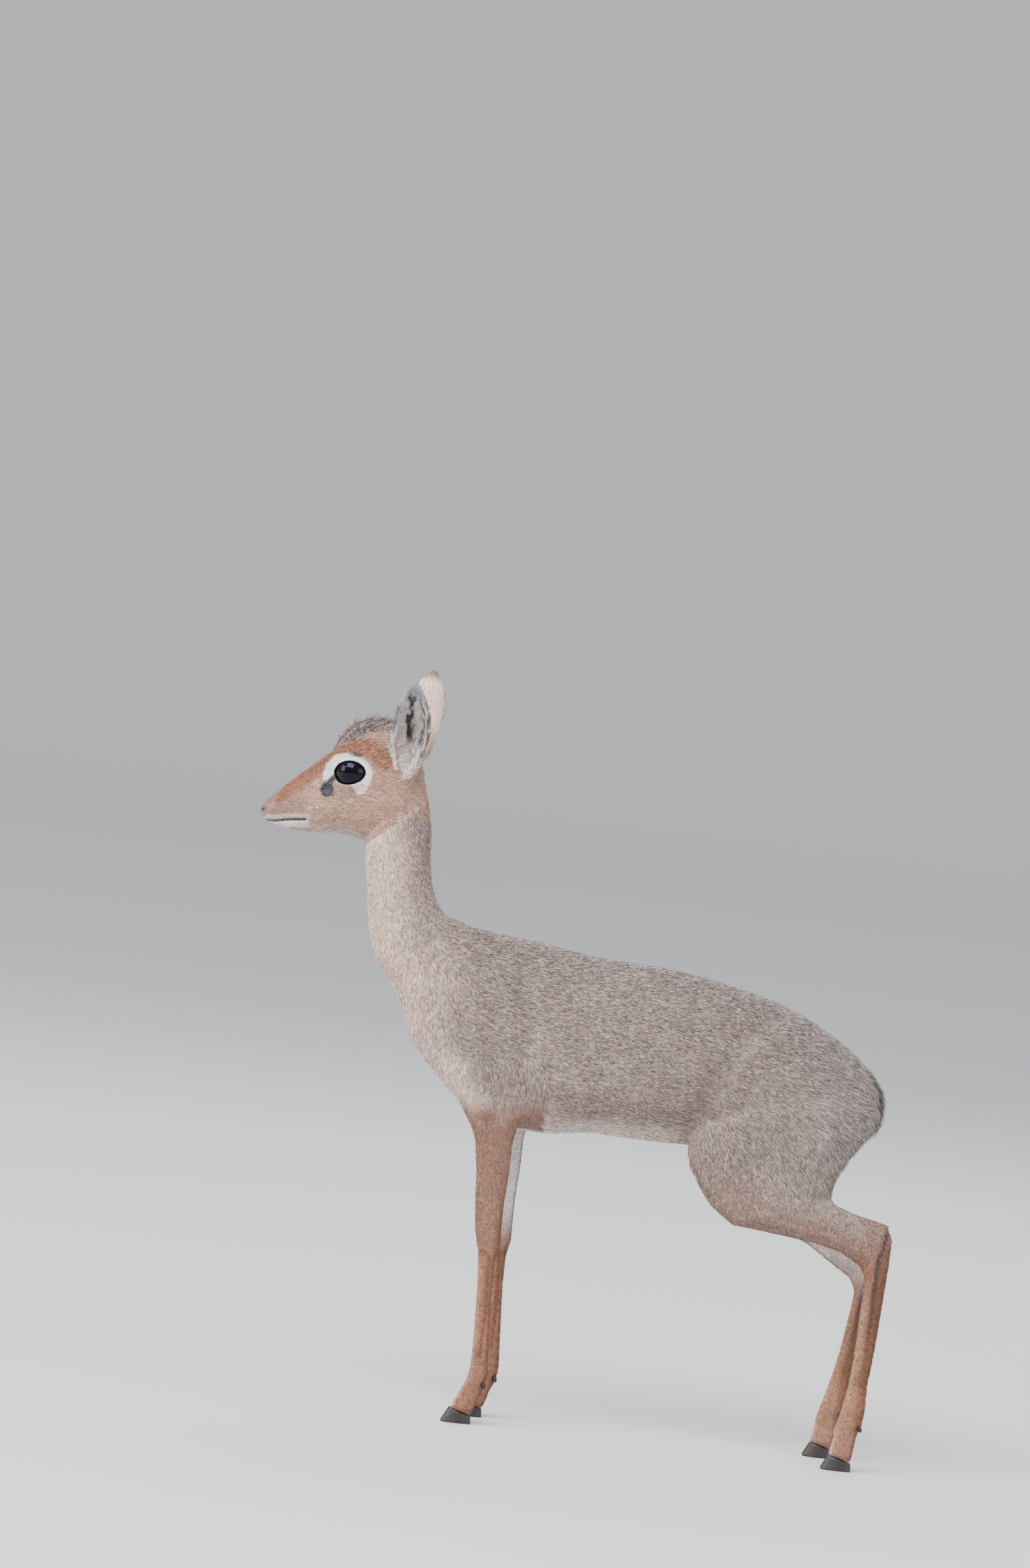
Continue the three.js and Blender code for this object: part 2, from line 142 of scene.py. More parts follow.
def from_head(points):
    """Head coordinates to part millimetres."""
    return turned(points, HEAD_TURN) + HEAD_PIVOT


def on_right_side(points):
    """Points of both sides as if they were all on the right one."""
    return np.stack([points[..., 0], np.abs(points[..., 1]), points[..., 2]], -1)


def bell(value, width):
    """1 at 0, and next to nothing past twice the width."""
    return np.exp(-((value / width) ** 2))


def eye_axes():
    """The right eye's axis, its level direction backwards and its upright, the lids' tilt included."""
    axis = unit(np.array([-math.sin(EYE_FORWARD), math.cos(EYE_FORWARD), math.sin(EYE_UPWARD)]))
    level = unit(np.cross(axis, [0, 0, 1]))
    upright = np.cross(level, axis)
    c, s = math.cos(LID_FRONT_LOWER), math.sin(LID_FRONT_LOWER)
    return axis, level * c + upright * s, upright * c - level * s


def lid_distance(spot):
    """Roughly how far a point in head coordinates lies outside the opening between the lids of its side."""
    _, level, upright = eye_axes()
    seen = on_right_side(spot) - EYE_CENTRE
    along = seen @ level
    up = seen @ upright + LID_LOWERED
    return (np.sqrt((along / LID_HALF_LENGTH) ** 2 + (up / LID_HALF_HEIGHT) ** 2) - 1) * LID_HALF_HEIGHT


def ear_axes(ear):
    """In head coordinates, an ear's upright, its breadth towards the back, and the way it opens."""
    upright = unit(np.array([ear["lean"], ear["side"] * math.sin(ear["tilt"]), math.cos(ear["tilt"])]))
    outward = np.array([-math.sin(EAR_OPENS_FORWARD), ear["side"] * math.cos(EAR_OPENS_FORWARD), 0])
    opens = unit(outward - outward @ upright * upright)
    return upright, np.cross(upright, opens) * -ear["side"], opens


def ears_at(points, owners):
    """For each ear: which points are on it, how far up, back and out on it they lie, and those directions."""
    spot = to_head(points)
    for word, ear in EARS.items():
        axes = ear_axes(ear)
        local = spot - ear["root"]
        yield is_node(owners, "ear_" + word), [local @ axis for axis in axes], axes


def rough_noise(points, size, seed):
    """Smooth noise from -1 to 1 with features of about that size."""
    rng = np.random.default_rng(seed)
    total = np.zeros(len(points))
    for _ in range(9):
        way = unit(rng.normal(size=3)) * 2 * math.pi / (size * rng.uniform(0.7, 1.6))
        total += np.sin(points @ way + rng.uniform(0, 2 * math.pi))
    return np.clip(total / 4.2, -1, 1)


def segment_distance(points, ends):
    """Distance of 2-D points from a polyline."""
    best = np.full(points.shape[:-1], 1e9)
    for a, b in zip(ends[:-1], ends[1:]):
        way = b - a
        share = np.clip(((points - a) @ way) / (way @ way), 0, 1)
        best = np.minimum(best, np.linalg.norm(points - a - share[..., None] * way, axis=-1))
    return best


def outline_depth(points, outline):
    """How far 2-D points lie inside a closed outline; negative outside it."""
    ends = np.vstack([outline, outline[:1]])
    inside = np.zeros(points.shape[:-1], bool)
    for a, b in zip(ends[:-1], ends[1:]):
        spans = (a[1] > points[..., 1]) != (b[1] > points[..., 1])
        rise = b[1] - a[1] if b[1] != a[1] else 1.0
        crossing = a[0] + (b[0] - a[0]) * (points[..., 1] - a[1]) / rise
        inside ^= spans & (points[..., 0] < crossing)
    return np.where(inside, 1, -1) * segment_distance(points, ends)


# Lines on the left legs, as x and z: the grooves beside the tendons, and the crease under the knee
HOCK_LINE = np.array([[253.5, 186], [249, 160], [248.5, 140], [248.8, 97], [247, 66]])
CANNON_LINE = np.array([[-43.5, 128], [-41.5, 85], [-41.5, 52]])
KNEE_LINE = np.array([[-54.5, 133.5], [-46, 131]])


def on_left_leg(x, y, z):
    """Where the left leg has what a leg has at a point, as x and z."""
    back = np.where(x > 90, 12.1 * fade(z, 215, 20), -8.0 * fade(z, 300, 230))
    return np.stack(np.broadcast_arrays(x + back * (y > 0), z), -1)


# The skin's shape

VOXEL = 1.0


def flesh_triangles():
    """Every flesh node's triangles in one array, and which node each belongs to."""
    points, triangles, owners = [], [], []
    count = 0
    for index, name in enumerate(FLESH_NODES):
        mesh = NODES[name].data
        mesh.calc_loop_triangles()
        own = np.empty(len(mesh.vertices) * 3, np.float32)
        mesh.vertices.foreach_get("co", own)
        faces = np.empty(len(mesh.loop_triangles) * 3, np.int32)
        mesh.loop_triangles.foreach_get("vertices", faces)
        points.append(own.reshape(-1, 3) / METRE)
        triangles.append(faces.reshape(-1, 3) + count)
        owners.append(np.full(len(mesh.loop_triangles), index))
        count += len(mesh.vertices)
    points = np.vstack(points).astype(np.float32)
    return points, np.vstack(triangles).astype(np.uint32), np.concatenate(owners)


def blurred(field, sigma):
    """A Gaussian blur of a dense field, in place of sharp facets and creases."""
    reach = int(math.ceil(2.2 * sigma))
    weights = np.exp(-0.5 * (np.arange(-reach, reach + 1) / sigma) ** 2)
    weights /= weights.sum()
    for axis in range(3):
        total = np.zeros_like(field)
        for shift, weight in zip(range(-reach, reach + 1), weights):
            total += np.float32(weight) * np.roll(field, shift, axis)
        field = total
    return field


def smooth_min(a, b, blend):
    """The smaller of two values, with a soft change within the blend's distance."""
    share = np.clip(0.5 + 0.5 * (b - a) / blend, 0, 1)
    return b + (a - b) * share - blend * share * (1 - share)


def sculpt_head(field, sharp, low):
    """Lids, tear glands, nostrils, lips and the hollows of the face, cut into the head's field."""
    grid = np.meshgrid(*[np.arange(n) + start for n, start in zip(field.shape, low)], indexing="ij")
    head = to_head(np.stack(grid, -1).astype(np.float32))
    for ear in EARS.values():
        upright, breadth, opens = ear_axes(ear)
        spot = head - ear["root"]
        near = np.hypot(spot @ breadth, spot @ opens) < 24
        field = field + fade(spot @ upright, 9, 17) * near * (sharp - 0.1 - field)
    mirrored = on_right_side(head)

    def dimple(centre, size, depth):
        return depth * np.exp(-(((mirrored - centre) / size) ** 2).sum(-1))

    for centre, size, depth in (
            (GLAND + [0, 1, 0], [3.6, 6, 3.2], 1.7),
            (GLAND, [7.5, 8, 6.5], -0.9),
            ([-40, 24, 56], [13, 9, 4.5], -1.0),
            ([-40, 24, 20], [12, 9, 4], 0.7),
            ([-75, 14, 14], [16, 7, 7], 0.8),
            ([-24, 24, 12], [14, 9, 12], -0.9)):
        field += dimple(centre, size, depth)
    line = segment_distance(mirrored[..., ::2], MOUTH)
    field += 1.5 * bell(line, 0.95) * (mirrored[..., 1] > 1.5)
    field += -0.5 * bell(line - 2.8, 1.5)
    slit = mirrored - NOSTRIL
    along, across, up = slit[..., 0], slit[..., 1], slit[..., 2]
    field += 2.4 * np.exp(-((along / 2.6) ** 2 + (up - 0.25 * along) ** 2 + (across / 2.4) ** 2))
    field += dimple(NOSTRIL + [0, 0, 1.9], [2.6, 2.4, 1.2], -0.5)
    seen = mirrored - EYE_CENTRE
    radius = np.linalg.norm(seen, axis=-1)
    depth = seen @ eye_axes()[0]
    outside = lid_distance(head)
    lid = np.maximum(np.maximum(radius - EYE_RADIUS - LID_THICKNESS, -outside), 1 - depth)
    field = smooth_min(field, lid, 2.4)
    opening = np.maximum(outside, 5 - depth)
    field = -smooth_min(-field, opening, 0.7)
    return np.maximum(field, EYE_RADIUS + 0.02 - radius)


# Hollows of the body, and muscles with a negative depth: a line of x and z, its width and its depth
BODY_LINES = (
    ([[-35, 238], [-37, 262], [-30, 305], [-42, 335]], 10, 2.0),
    ([[-72, 236], [-68, 275], [-76, 320]], 13, -1.2),
    ([[-98, 252], [-103, 290], [-104, 330]], 9, 1.1),
    ([[98, 244], [112, 275], [126, 308], [150, 335]], 11, 2.2),
    ([[128, 225], [150, 262], [176, 300]], 16, -1.4),
    ([[20, 262], [60, 262]], 12, -0.7),
)
LEG_LINES = ((HOCK_LINE, 1.7, 0.9), (CANNON_LINE, 1.6, 0.8), (KNEE_LINE, 1.6, 0.6))


def relief(spot, lines):
    """Depth of soft hollows along lines, at places given as x and z."""
    total = np.zeros(spot.shape[:-1], spot.dtype)
    for line, width, depth in lines:
        total += depth * bell(segment_distance(spot, np.array(line, float)), width)
    return total


def body_relief(x, y, z):
    """Hollows behind the shoulder and before the thigh, and muscles beside them; none on the spine."""
    spot = np.stack(np.broadcast_arrays(x, z), -1).astype(np.float32)
    return (relief(spot, BODY_LINES) * fade(np.abs(y), 8, 26)).astype(np.float32)


def coat_depth(z):
    """How deep the coat is over the skin: deeper on the body, thin on the head and the lower legs."""
    return 0.35 + 0.85 * fade(z, 150, 235) * (1 - fade(z, 425, 450))


def skin_surface():
    """The skin's points and quads: the flesh nodes made one closed body, smoothed, sunk and sculpted."""
    points, triangles, _ = flesh_triangles()
    spacing = openvdb.createLinearTransform(voxelSize=VOXEL)
    parted = openvdb.FloatGrid.createLevelSetFromPolygons(
        points, triangles=triangles, transform=spacing, halfWidth=3.0)
    # Moved out by this much, the nodes' thin cuts close; the field is moved back afterwards.
    closing = 0.2
    shell, _, quads = parted.convertToPolygons(isovalue=closing, adaptivity=0)
    whole = openvdb.FloatGrid.createLevelSetFromPolygons(
        shell.astype(np.float32), quads=quads.astype(np.uint32), transform=spacing, halfWidth=9.0)
    margin = 6
    low = np.floor(points.min(0)).astype(int) - margin
    high = np.ceil(points.max(0)).astype(int) + margin
    corner = tuple(int(v) for v in low)
    field = np.empty(tuple(high - low), np.float32)
    whole.copyToArray(field, ijk=corner)
    field += closing
    x, y, z = np.ogrid[tuple(slice(a, b) for a, b in zip(low, high))]
    head = np.s_[:HEAD_FIELD_X - corner[0], :, HEAD_FIELD_Z - corner[2]:]
    trunk = np.s_[:, :, TRUNK_FIELD_Z[0] - corner[2]:TRUNK_FIELD_Z[1] - corner[2]]
    legs = np.s_[:, :, :LEG_FIELD_Z - corner[2]]
    sharp = field[head].copy()
    field = blurred(field, 0.9)
    body = fade(z[trunk], 190, 225) * (1 - fade(z[trunk], 395, 415))
    field[trunk] += (body * (blurred(field[trunk], 3.2) - field[trunk])).astype(np.float32)
    field += coat_depth(z).astype(np.float32)
    field[legs] += relief(on_left_leg(x, y, z[legs]), LEG_LINES).astype(np.float32)
    field[trunk] += body_relief(x, y, z[trunk])
    field[head] = sculpt_head(field[head], sharp, (corner[0], corner[1], HEAD_FIELD_Z))
    skin = openvdb.FloatGrid()
    skin.transform = spacing
    skin.copyFromArray(field, ijk=corner)
    surface, loose, quads = skin.convertToPolygons(isovalue=0, adaptivity=0)
    if len(loose):
        raise ValueError("the skin's surface holds loose triangles")
    return surface, quads[:, ::-1] if quads_face_inwards(surface, quads) else quads


def quads_face_inwards(points, quads):
    """True if the volume that the quads close comes out negative."""
    a, b, c = points[quads[:, 0]], points[quads[:, 1]], points[quads[:, 2]]
    return np.einsum("ij,ij->", a, np.cross(b, c)) < 0


def mesh_object(name, points, faces):
    """A smooth mesh object at the origin, from millimetre points and faces with equally many corners."""
    mesh = bpy.data.meshes.new(name)
    count, sides = faces.shape
    mesh.vertices.add(len(points))
    mesh.vertices.foreach_set("co", (np.asarray(points) * METRE).astype(np.float32).ravel())
    mesh.loops.add(count * sides)
    mesh.loops.foreach_set("vertex_index", faces.astype(np.int32).ravel())
    mesh.polygons.add(count)
    mesh.polygons.foreach_set("loop_start", np.arange(0, count * sides, sides, dtype=np.int32))
    mesh.polygons.foreach_set("use_smooth", np.ones(count, bool))
    mesh.update(calc_edges=True)
    mesh.validate()
    item = bpy.data.objects.new(name, mesh)
    bpy.context.collection.objects.link(item)
    return item


def arrays_of(item):
    """Points in millimetres, normals and triangles of a mesh object."""
    mesh = item.data
    mesh.calc_loop_triangles()
    arrays = []
    for rows, key, kind in ((mesh.vertices, "co", np.float32), (mesh.vertices, "normal", np.float32),
                            (mesh.loop_triangles, "vertices", np.int32)):
        values = np.empty(len(rows) * 3, kind)
        rows.foreach_get(key, values)
        arrays.append(values.reshape(-1, 3))
    points, normals, triangles = arrays
    return points / METRE, normals, triangles


def ring_steps(count, around):
    """Every point of all the rings but the last, and the next point of the same ring."""
    start = np.arange(count - 1)[:, None] * around
    turn = np.arange(around)
    return (start + turn).ravel(), (start + (turn + 1) % around).ravel()


def closed_rings(rings, first, last):
    """Points and triangles of a shell made of rings of points, closed by a fan round a point at each end."""
    count, around = rings.shape[:2]
    here, after = ring_steps(count, around)
    loop = np.arange(around)
    following = (loop + 1) % around
    under = np.full(around, count * around)
    top = (count - 1) * around
    faces = np.concatenate([
        np.stack([here, after, here + around], 1),
        np.stack([after, after + around, here + around], 1),
        np.stack([under, following, loop], 1),
        np.stack([under + 1, top + loop, top + following], 1)])
    return np.vstack([rings.reshape(-1, 3), first, last]), faces


def applied(item):
    """Puts the result of an object's modifiers in its own mesh."""
    graph = bpy.context.evaluated_depsgraph_get()
    mesh = bpy.data.meshes.new_from_object(item.evaluated_get(graph))
    item.modifiers.clear()
    item.data = mesh


def nearest_nodes(points):
    """The index in FLESH_NODES of the CAD node nearest to each point."""
    corners, triangles, owners = flesh_triangles()
    tree = BVHTree.FromPolygons(corners.tolist(), triangles.tolist())
    return np.array([owners[tree.find_nearest(Vector(p))[2]] for p in points.tolist()])


def is_node(owners, *words):
    """Where a point's nearest node has a name that starts with one of the words."""
    wanted = [i for i, name in enumerate(FLESH_NODES) if name.startswith(words)]
    return np.isin(owners, wanted)


# Markings: one function gives the colours of the skin and of every tuft

class Markings:
    """The coat's colour and how strongly it is ticked, at points of the skin."""

    def __init__(self, colours):
        self.colour = {name: np.array(colours[name]) for name in colours}

    def paint(self, total, *coats):
        """Lays named colours over those so far, one after another, each as strongly as its weight says."""
        for name, weight in coats:
            total += np.clip(weight, 0, 1)[:, None] * (self.colour[name] - total)

    def body(self, points, normals, owners):
        """The trunk, neck, legs and tail, from the chest back to the rump and down to the hooves."""
        x, y, z = points.T
        wavy = rough_noise(points, 38, 3)
        front = x - np.interp(z, FRONT_Z, FRONT_X)
        chest = fade(-front + 6 * wavy, -44, -12) * fade(z, 215, 250) * (x < 0)
        belly = fade(-z + 3 * wavy, -252, -236) * fade(x, -90, -60) * fade(x, 110, 75)
        foreleg = is_node(owners, "upper_foreleg", "lower_foreleg")
        hindleg = is_node(owners, "upper_hindleg", "lower_hindleg")
        leg = foreleg | hindleg
        elbow = fade(-np.hypot((x + 58) / 15, (z - 234) / 11) + 0.2 * wavy, -1.2, -0.5)
        elbow *= fade(np.abs(y), 10, 16)
        arm = np.maximum(foreleg * fade(-z + 6 * wavy, -252, -230), elbow)
        thigh = hindleg * fade(-z - 0.25 * (x - 150) + 7 * wavy, -214, -180)
        hock = hindleg * fade(x, 225, 245) * fade(z, 215, 192)
        shank = hindleg * fade(z, 180, 150)
        limb = np.maximum(arm, shank)
        shaded_rear = fade(normals[:, 0], 0.3, 0.9)
        fronts = fade(normals[:, 0], -0.35, -0.9)
        left = on_left_leg(x, y, z)
        behind = left[:, 0] - np.interp(z, HOCK_LINE[::-1, 1], HOCK_LINE[::-1, 0])
        shaded_groove = segment_distance(left, HOCK_LINE)
        shaded_crease = np.minimum(segment_distance(left, KNEE_LINE), segment_distance(left, CANNON_LINE))
        total = np.tile(self.colour["grizzle"], (len(points), 1))
        self.paint(
            total,
            # The front of the neck is paler buff: partly its own colour, partly painted light from the front
            # and the left.
            ("buff", 0.55 * fade(-front + 6 * wavy, -75, -30) * fade(z, 300, 340) * fade(z, 455, 415)),
            ("buff", 0.9 * chest),
            ("white", 0.1 * chest),
            ("white", 0.7 * chest * fade(z, 300, 235) * fade(np.abs(y), 34, 16)),
            ("grizzle", 0.6 * is_node(owners, "neck") * fade(front, 26, 46)),
            ("grey", 0.65 * fade(x, 130, 215) * fade(z, 200, 240)),
            ("grey", 0.4 * fade(normals[:, 2], 0.35, 0.95) * fade(x, -90, -40)),
            ("cream", 0.9 * belly),
            ("white", 0.45 * belly * fade(normals[:, 2], -0.5, -0.9)),
            ("tan", 0.92 * arm),
            ("tan", np.maximum(0.62 * thigh, 0.8 * hock)),
            ("tan", 0.8 * shank),
            ("rufous", 0.45 * np.maximum(foreleg * fade(z, 160, 100), shank)),
            ("russet", 0.3 * hindleg * fade(z, 185, 140) * fade(z, 40, 75)),
            # Russet backs and pale tan fronts of the lower legs: partly the legs' own colours, partly painted
            # shade on the backs and painted highlight on the fronts.
            ("russet", 0.65 * hindleg * fade(behind, -0.5, 2) * fade(z, 200, 170) * fade(z, 48, 75)),
            ("russet", 0.6 * leg * shaded_rear * fade(z, 190, 150)),
            ("pale_tan", 0.6 * leg * fronts * fade(z, 150, 110)),
            ("pale_tan", 0.4 * hindleg * fade(behind, -0.5, -4) * fade(z, 150, 120)),
            # Painted shade: a dark line along the hock's tendon groove, and russet in the creases under the
            # knee and down the foreleg.
            ("dark", 0.8 * hindleg * fade(shaded_groove, 2.8, 0.9) * fade(z, 55, 150)),
            ("russet", 0.6 * foreleg * fade(shaded_crease, 2.4, 0.9)))
        streaks = 0.12 * rough_noise(points * [1, 1, 0.35], 5, 51) + 0.07 * rough_noise(points, 20, 52)
        total *= (1 + limb * streaks)[:, None]
        inner = fade(-normals[:, 1] * np.where(y < 0, -1.0, 1.0), 0.15, 0.7)
        tail = is_node(owners, "tail")
        under_tail = fade(x, 205, 222) * fade(z, 268, 240) * fade(z, 165, 195) * fade(np.abs(y), 24, 12)
        self.paint(
            total,
            ("white", 0.85 * foreleg * inner * fade(z, 130, 165) * fade(z, 262, 235)),
            ("white", 0.75 * hindleg * inner * fade(z, 120, 170) * fade(z, 250, 215)),
            ("cream", 0.8 * leg * fade(z, 38, 16) * fronts),
            ("dark", 0.45 * leg * fade(z, 13.5, 10.5)),
            ("dark", 0.75 * tail * fade(normals[:, 0] + 0.4 * normals[:, 2], -0.2, 0.5)),
            ("white", 0.85 * under_tail * ~tail))
        tick = 1 - 0.4 * chest - 0.7 * belly - np.maximum(0.93 * limb, 0.4 * thigh)
        return total, np.clip(tick, 0, 1)

    def head(self, points, normals, total, tick, owners):
        """Lays the head's colours over the body's, which they meet below the jaw."""
        where = is_node(owners, "head", "lower_jaw", "nose", "ear") | (points[:, 2] > 452)
        blend = where * fade(points[:, 2] - 0.75 * points[:, 0] + 5 * rough_noise(points, 16, 6), 522, 556)
        spot = to_head(points)
        x, y, z = spot.T
        side = np.abs(y)
        flat = spot[:, ::2]
        wavy = rough_noise(points, 14, 5)
        mottled = rough_noise(spot, 7, 31)
        streaked = rough_noise(spot * [0.5, 1, 1.6], 4, 32)
        jaw = fade(-z + 2 * wavy, -4, 6)
        brow = segment_distance(flat, BROW)
        bridge = fade(z - np.interp(x, [-105, -90, -62, -45], [7, 19, 44, 56]), -3, 3)
        bridge *= fade(x, -40, -58) * fade(x, -108, -96)
        temple = fade(-np.hypot((x + 17) / 17, (z - 44) / 15), -1.15, -0.5)
        crest = fade(z - np.interp(x, CREST_X, CREST_Z) + wavy, -2, 3)
        crest *= fade(x, -80, -70)
        crest *= fade(side, 19, 12)
        by_ear = fade(-np.hypot((x - 2) / 9, (z - 56) / 15), -1.1, -0.6) * fade(side, 15, 19)
        lateral = fade(side, 8, 12)
        ring = fade(outline_depth(flat, EYE_RING) + 0.4 * wavy, -0.8, 0.5)
        mark = np.hypot((x + 39) / 6, (z - 53.2) / 1.7)
        gland = np.linalg.norm(flat - GLAND[[0, 2]], axis=1)
        duct = segment_distance(flat, TEAR_DUCT)
        mouth = segment_distance(flat, MOUTH)
        above = z - np.interp(x, MOUTH[:, 0], MOUTH[:, 1])
        lips = fade(x, -66, -74)
        nostril = np.hypot((x - NOSTRIL[0]) / 2.6, (z - NOSTRIL[2] - 0.25 * (x - NOSTRIL[0])) / 1.3)
        face = np.tile(self.colour["cheek"], (len(points), 1))
        self.paint(
            face,
            ("rufous", 0.3 * fade(mottled, 0.0, 0.7)),
            ("jaw", 0.5 * fade(mottled, 0.0, -0.7)),
            ("jaw", 0.7 * jaw),
            ("muzzle", 0.75 * fade(x, -66, -84) * fade(z, 24, 12)),
            ("rufous", 0.85 * fade(-brow + wavy, -10, -4.5)),
            ("rufous", 0.85 * bridge),
            ("rufous", 0.2 * temple),
            ("dark", 0.4 * bridge * fade(side, 7, 2) * fade(x, -50, -64) * fade(x, -86, -66)),
            ("crest", 0.85 * crest),
            ("rufous", 0.4 * fade(x, -22, -8) * fade(z, 50, 66)),
            ("white", 0.8 * by_ear),
            ("white", ring * lateral),
            ("dark", 0.75 * fade(mark, 1.3, 0.6) * lateral),
            ("gland", 0.97 * fade(gland, 6.2, 5.2) * lateral),
            ("dark", 0.6 * fade(gland, 2.6, 1.2) * lateral),
            ("gland", 0.95 * fade(duct, 2.7, 1.8) * lateral),
            ("lid", fade(-lid_distance(spot), -1.1, -0.6) * lateral * (np.abs(x + 42) < 17)),
            ("white", 0.5 * lips * fade(np.abs(above - 2.4), 3.0, 1.0)),
            ("white", 0.9 * lips * fade(np.abs(above + 3.2), 3.4, 2.0)),
            ("white", 0.35 * fade(z, 1, -8) * fade(normals[:, 2], -0.2, -0.8) * fade(x, -20, -40)),
            # Painted shade: the near-black mouth colour fills the slit between the lips.
            ("mouth", 0.95 * fade(mouth, 1.5, 0.8) * (x > -106) * (x < -70)),
            ("nose", 0.95 * fade(-x + 0.35 * (z - 2), 99, 103.5) * fade(z, -4.5, -2.5)),
            # Painted shade: dark in the nostril openings.
            ("dark", fade(nostril, 1.2, 0.7) * fade(side, 2.0, 3.0)))
        face *= (1 + 0.1 * streaked + 0.05 * mottled)[:, None]
        total += blend[:, None] * (face - total)
        busy = (0.6 + 0.25 * jaw + 1.2 * crest) * (1 - 0.9 * ring)
        tick += blend * (busy - tick)

    def ears(self, points, normals, total, tick, owners):
        """Lays the ears' colours over the head's: the hairy hollow inside and the pale back."""
        leaning = turned(normals, -HEAD_TURN)
        wavy = rough_noise(points, 9, 11)
        mottled = rough_noise(to_head(points) * [1, 1, 0.45], 4.5, 41)
        for own, (up, back, _), (_, _, opens) in ears_at(points, owners):
            rise = up / EAR_LENGTH
            inside = fade(leaning @ opens, -0.05, 0.35)
            colour = np.tile(self.colour["ear_back"], (len(points), 1))
            self.paint(
                colour,
                ("tan", 0.55 * fade(rise, 0.45, 0.15)),
                ("dark", 0.75 * fade(rise, 0.86, 0.97)))
            hollow = np.tile(self.colour["ear_hair"], (len(points), 1))
            for place, width, strength in (
                    (-12, 1.6, 0.85), (-4.5, 2.4, 1.0), (4.5, 1.8, 0.8), (12, 2.0, 0.85)):
                bent = place * (0.35 + 0.9 * np.sin(np.clip(rise, 0, 1) * math.pi) ** 0.6)
                band = fade(-np.abs(back - bent + 1.8 * wavy), -width - 0.8, -width + 0.6)
                band *= fade(rise, 0.12, 0.26) * fade(rise, 0.93, 0.8)
                self.paint(hollow, ("ear_dark", strength * band))
            self.paint(
                hollow,
                ("ear_dark", 0.5 * fade(-np.hypot((back + 4) / 4, (rise - 0.3) / 0.12), -1.2, -0.5)),
                ("ear_dark", 0.5 * fade(mottled, 0.25, 0.8) * fade(back, -1, 4)),
                ("white", 0.6 * fade(mottled, -0.2, -0.8)),
                ("ear_rim", 0.8 * fade(rise, 0.74, 0.9)),
                ("white", 0.9 * fade(rise, 0.32, 0.18)))
            colour += inside[:, None] * (hollow - colour)
            weight = own * np.maximum(fade(rise, 0.0, 0.14), inside)
            total += weight[:, None] * (colour - total)
            tick += weight * (0.25 - tick)

    def at(self, points, normals, owners):
        """Linear colours, and ticking from 0 to 1.5."""
        total, tick = self.body(points, normals, owners)
        self.head(points, normals, total, tick, owners)
        self.ears(points, normals, total, tick, owners)
        total *= (1 + 0.05 * rough_noise(points, 30, 21) + 0.035 * rough_noise(points, 7, 22))[:, None]
        return total, np.clip(tick, 0, 1.5)


# The coat: closed three-sided tufts that lie along the body

TUFT_FACES = np.array([
    [0, 3, 4], [0, 4, 1], [1, 4, 5], [1, 5, 2], [2, 5, 3],
    [2, 3, 0], [3, 6, 4], [4, 6, 5], [5, 6, 3], [0, 1, 2],
])
TUFT_PATCH = 0.003
TUFT_SPOTS = np.array([[-1, -1], [0, -1], [1, -1], [-1, 0.3], [0, 0.3], [1, 0.3], [0, 1]])
TUFTS_PER_PIECE = 19000
PALE_TICK = np.array(linear("#dccfc6"))
DARK_TICK = np.array(linear("#3b302b"))

# The coat's pieces: the nodes that each covers, and its slot
GROUPS = {
    "trunk": (("trunk",), "fur_grizzled"),
    "neck": (("neck",), "fur_grizzled"),
    "head": (("head", "lower_jaw", "nose"), "fur_buff"),
    "ears": (("ear_",), "fur_buff"),
    "forelegs": (("upper_foreleg", "lower_foreleg"), "fur_rufous"),
    "hindlegs": (("upper_hindleg", "lower_hindleg"), "fur_rufous"),
    "tail": (("tail",), "fur_dark"),
}

# The middle of each leg: its x at some heights, and how far it stands from the middle plane
LEG_AXES = {
    "forelegs": ([0, 140, 200, 260], [-48, -46, -48, -60], 30.0),
    "hindlegs": ([0, 140, 185, 215], [235, 246, 225, 165], 37.0),
}


def lie_of_coat(points, normals, owners):
    """The way the hair lies at each point, along the skin."""
    x, y, z = points.T
    spot = to_head(points)
    side = np.where(y < 0, -1.0, 1.0)
    lie = np.stack([np.ones(len(x)), 0.12 * side, -0.32 * np.ones(len(x))], -1)
    for where, way in (
            (fade(x, -60, -130) * fade(z, 400, 330), [0.25, 0, -1.0]),
            (is_node(owners, "neck"), [0.42, 0, -0.9]),
            (is_node(owners, "upper_foreleg") * fade(z, 310, 250), [0.15, 0, -1.0]),
            (is_node(owners, "upper_hindleg") * fade(z, 300, 215), [0.5, 0, -0.9]),
            (is_node(owners, "lower_foreleg", "lower_hindleg"), [0.08, 0, -1.0]),
            (is_node(owners, "tail"), [0.35, 0, -1.0])):
        lie += where[:, None] * (way - lie)
    over_face = np.stack([np.ones(len(x)), 0.1 * side, 0.18 * fade(spot[:, 2], 10, 40) - 0.06], -1)
    away = on_right_side(spot) - EYE_CENTRE
    around = unit(np.stack([away[:, 0] + 6, away[:, 1] * side * 0.2, away[:, 2]], -1))
    near_eye = bell(np.maximum(lid_distance(spot), 0), 5) * (np.abs(spot[:, 1]) > 9)
    over_face += (0.65 * near_eye)[:, None] * (around - over_face)
    head = is_node(owners, "head", "lower_jaw", "nose")
    lie[head] = turned(over_face, HEAD_TURN)[head]
    for own, (_, back, _), (upright, breadth, _) in ears_at(points, owners):
        along = upright + 0.35 * np.sign(back)[:, None] * fade(np.abs(back), 6, 14)[:, None] * breadth
        lie[own] = turned(along, HEAD_TURN)[own]
    lie -= (lie * normals).sum(-1, keepdims=True) * normals
    return unit(lie)


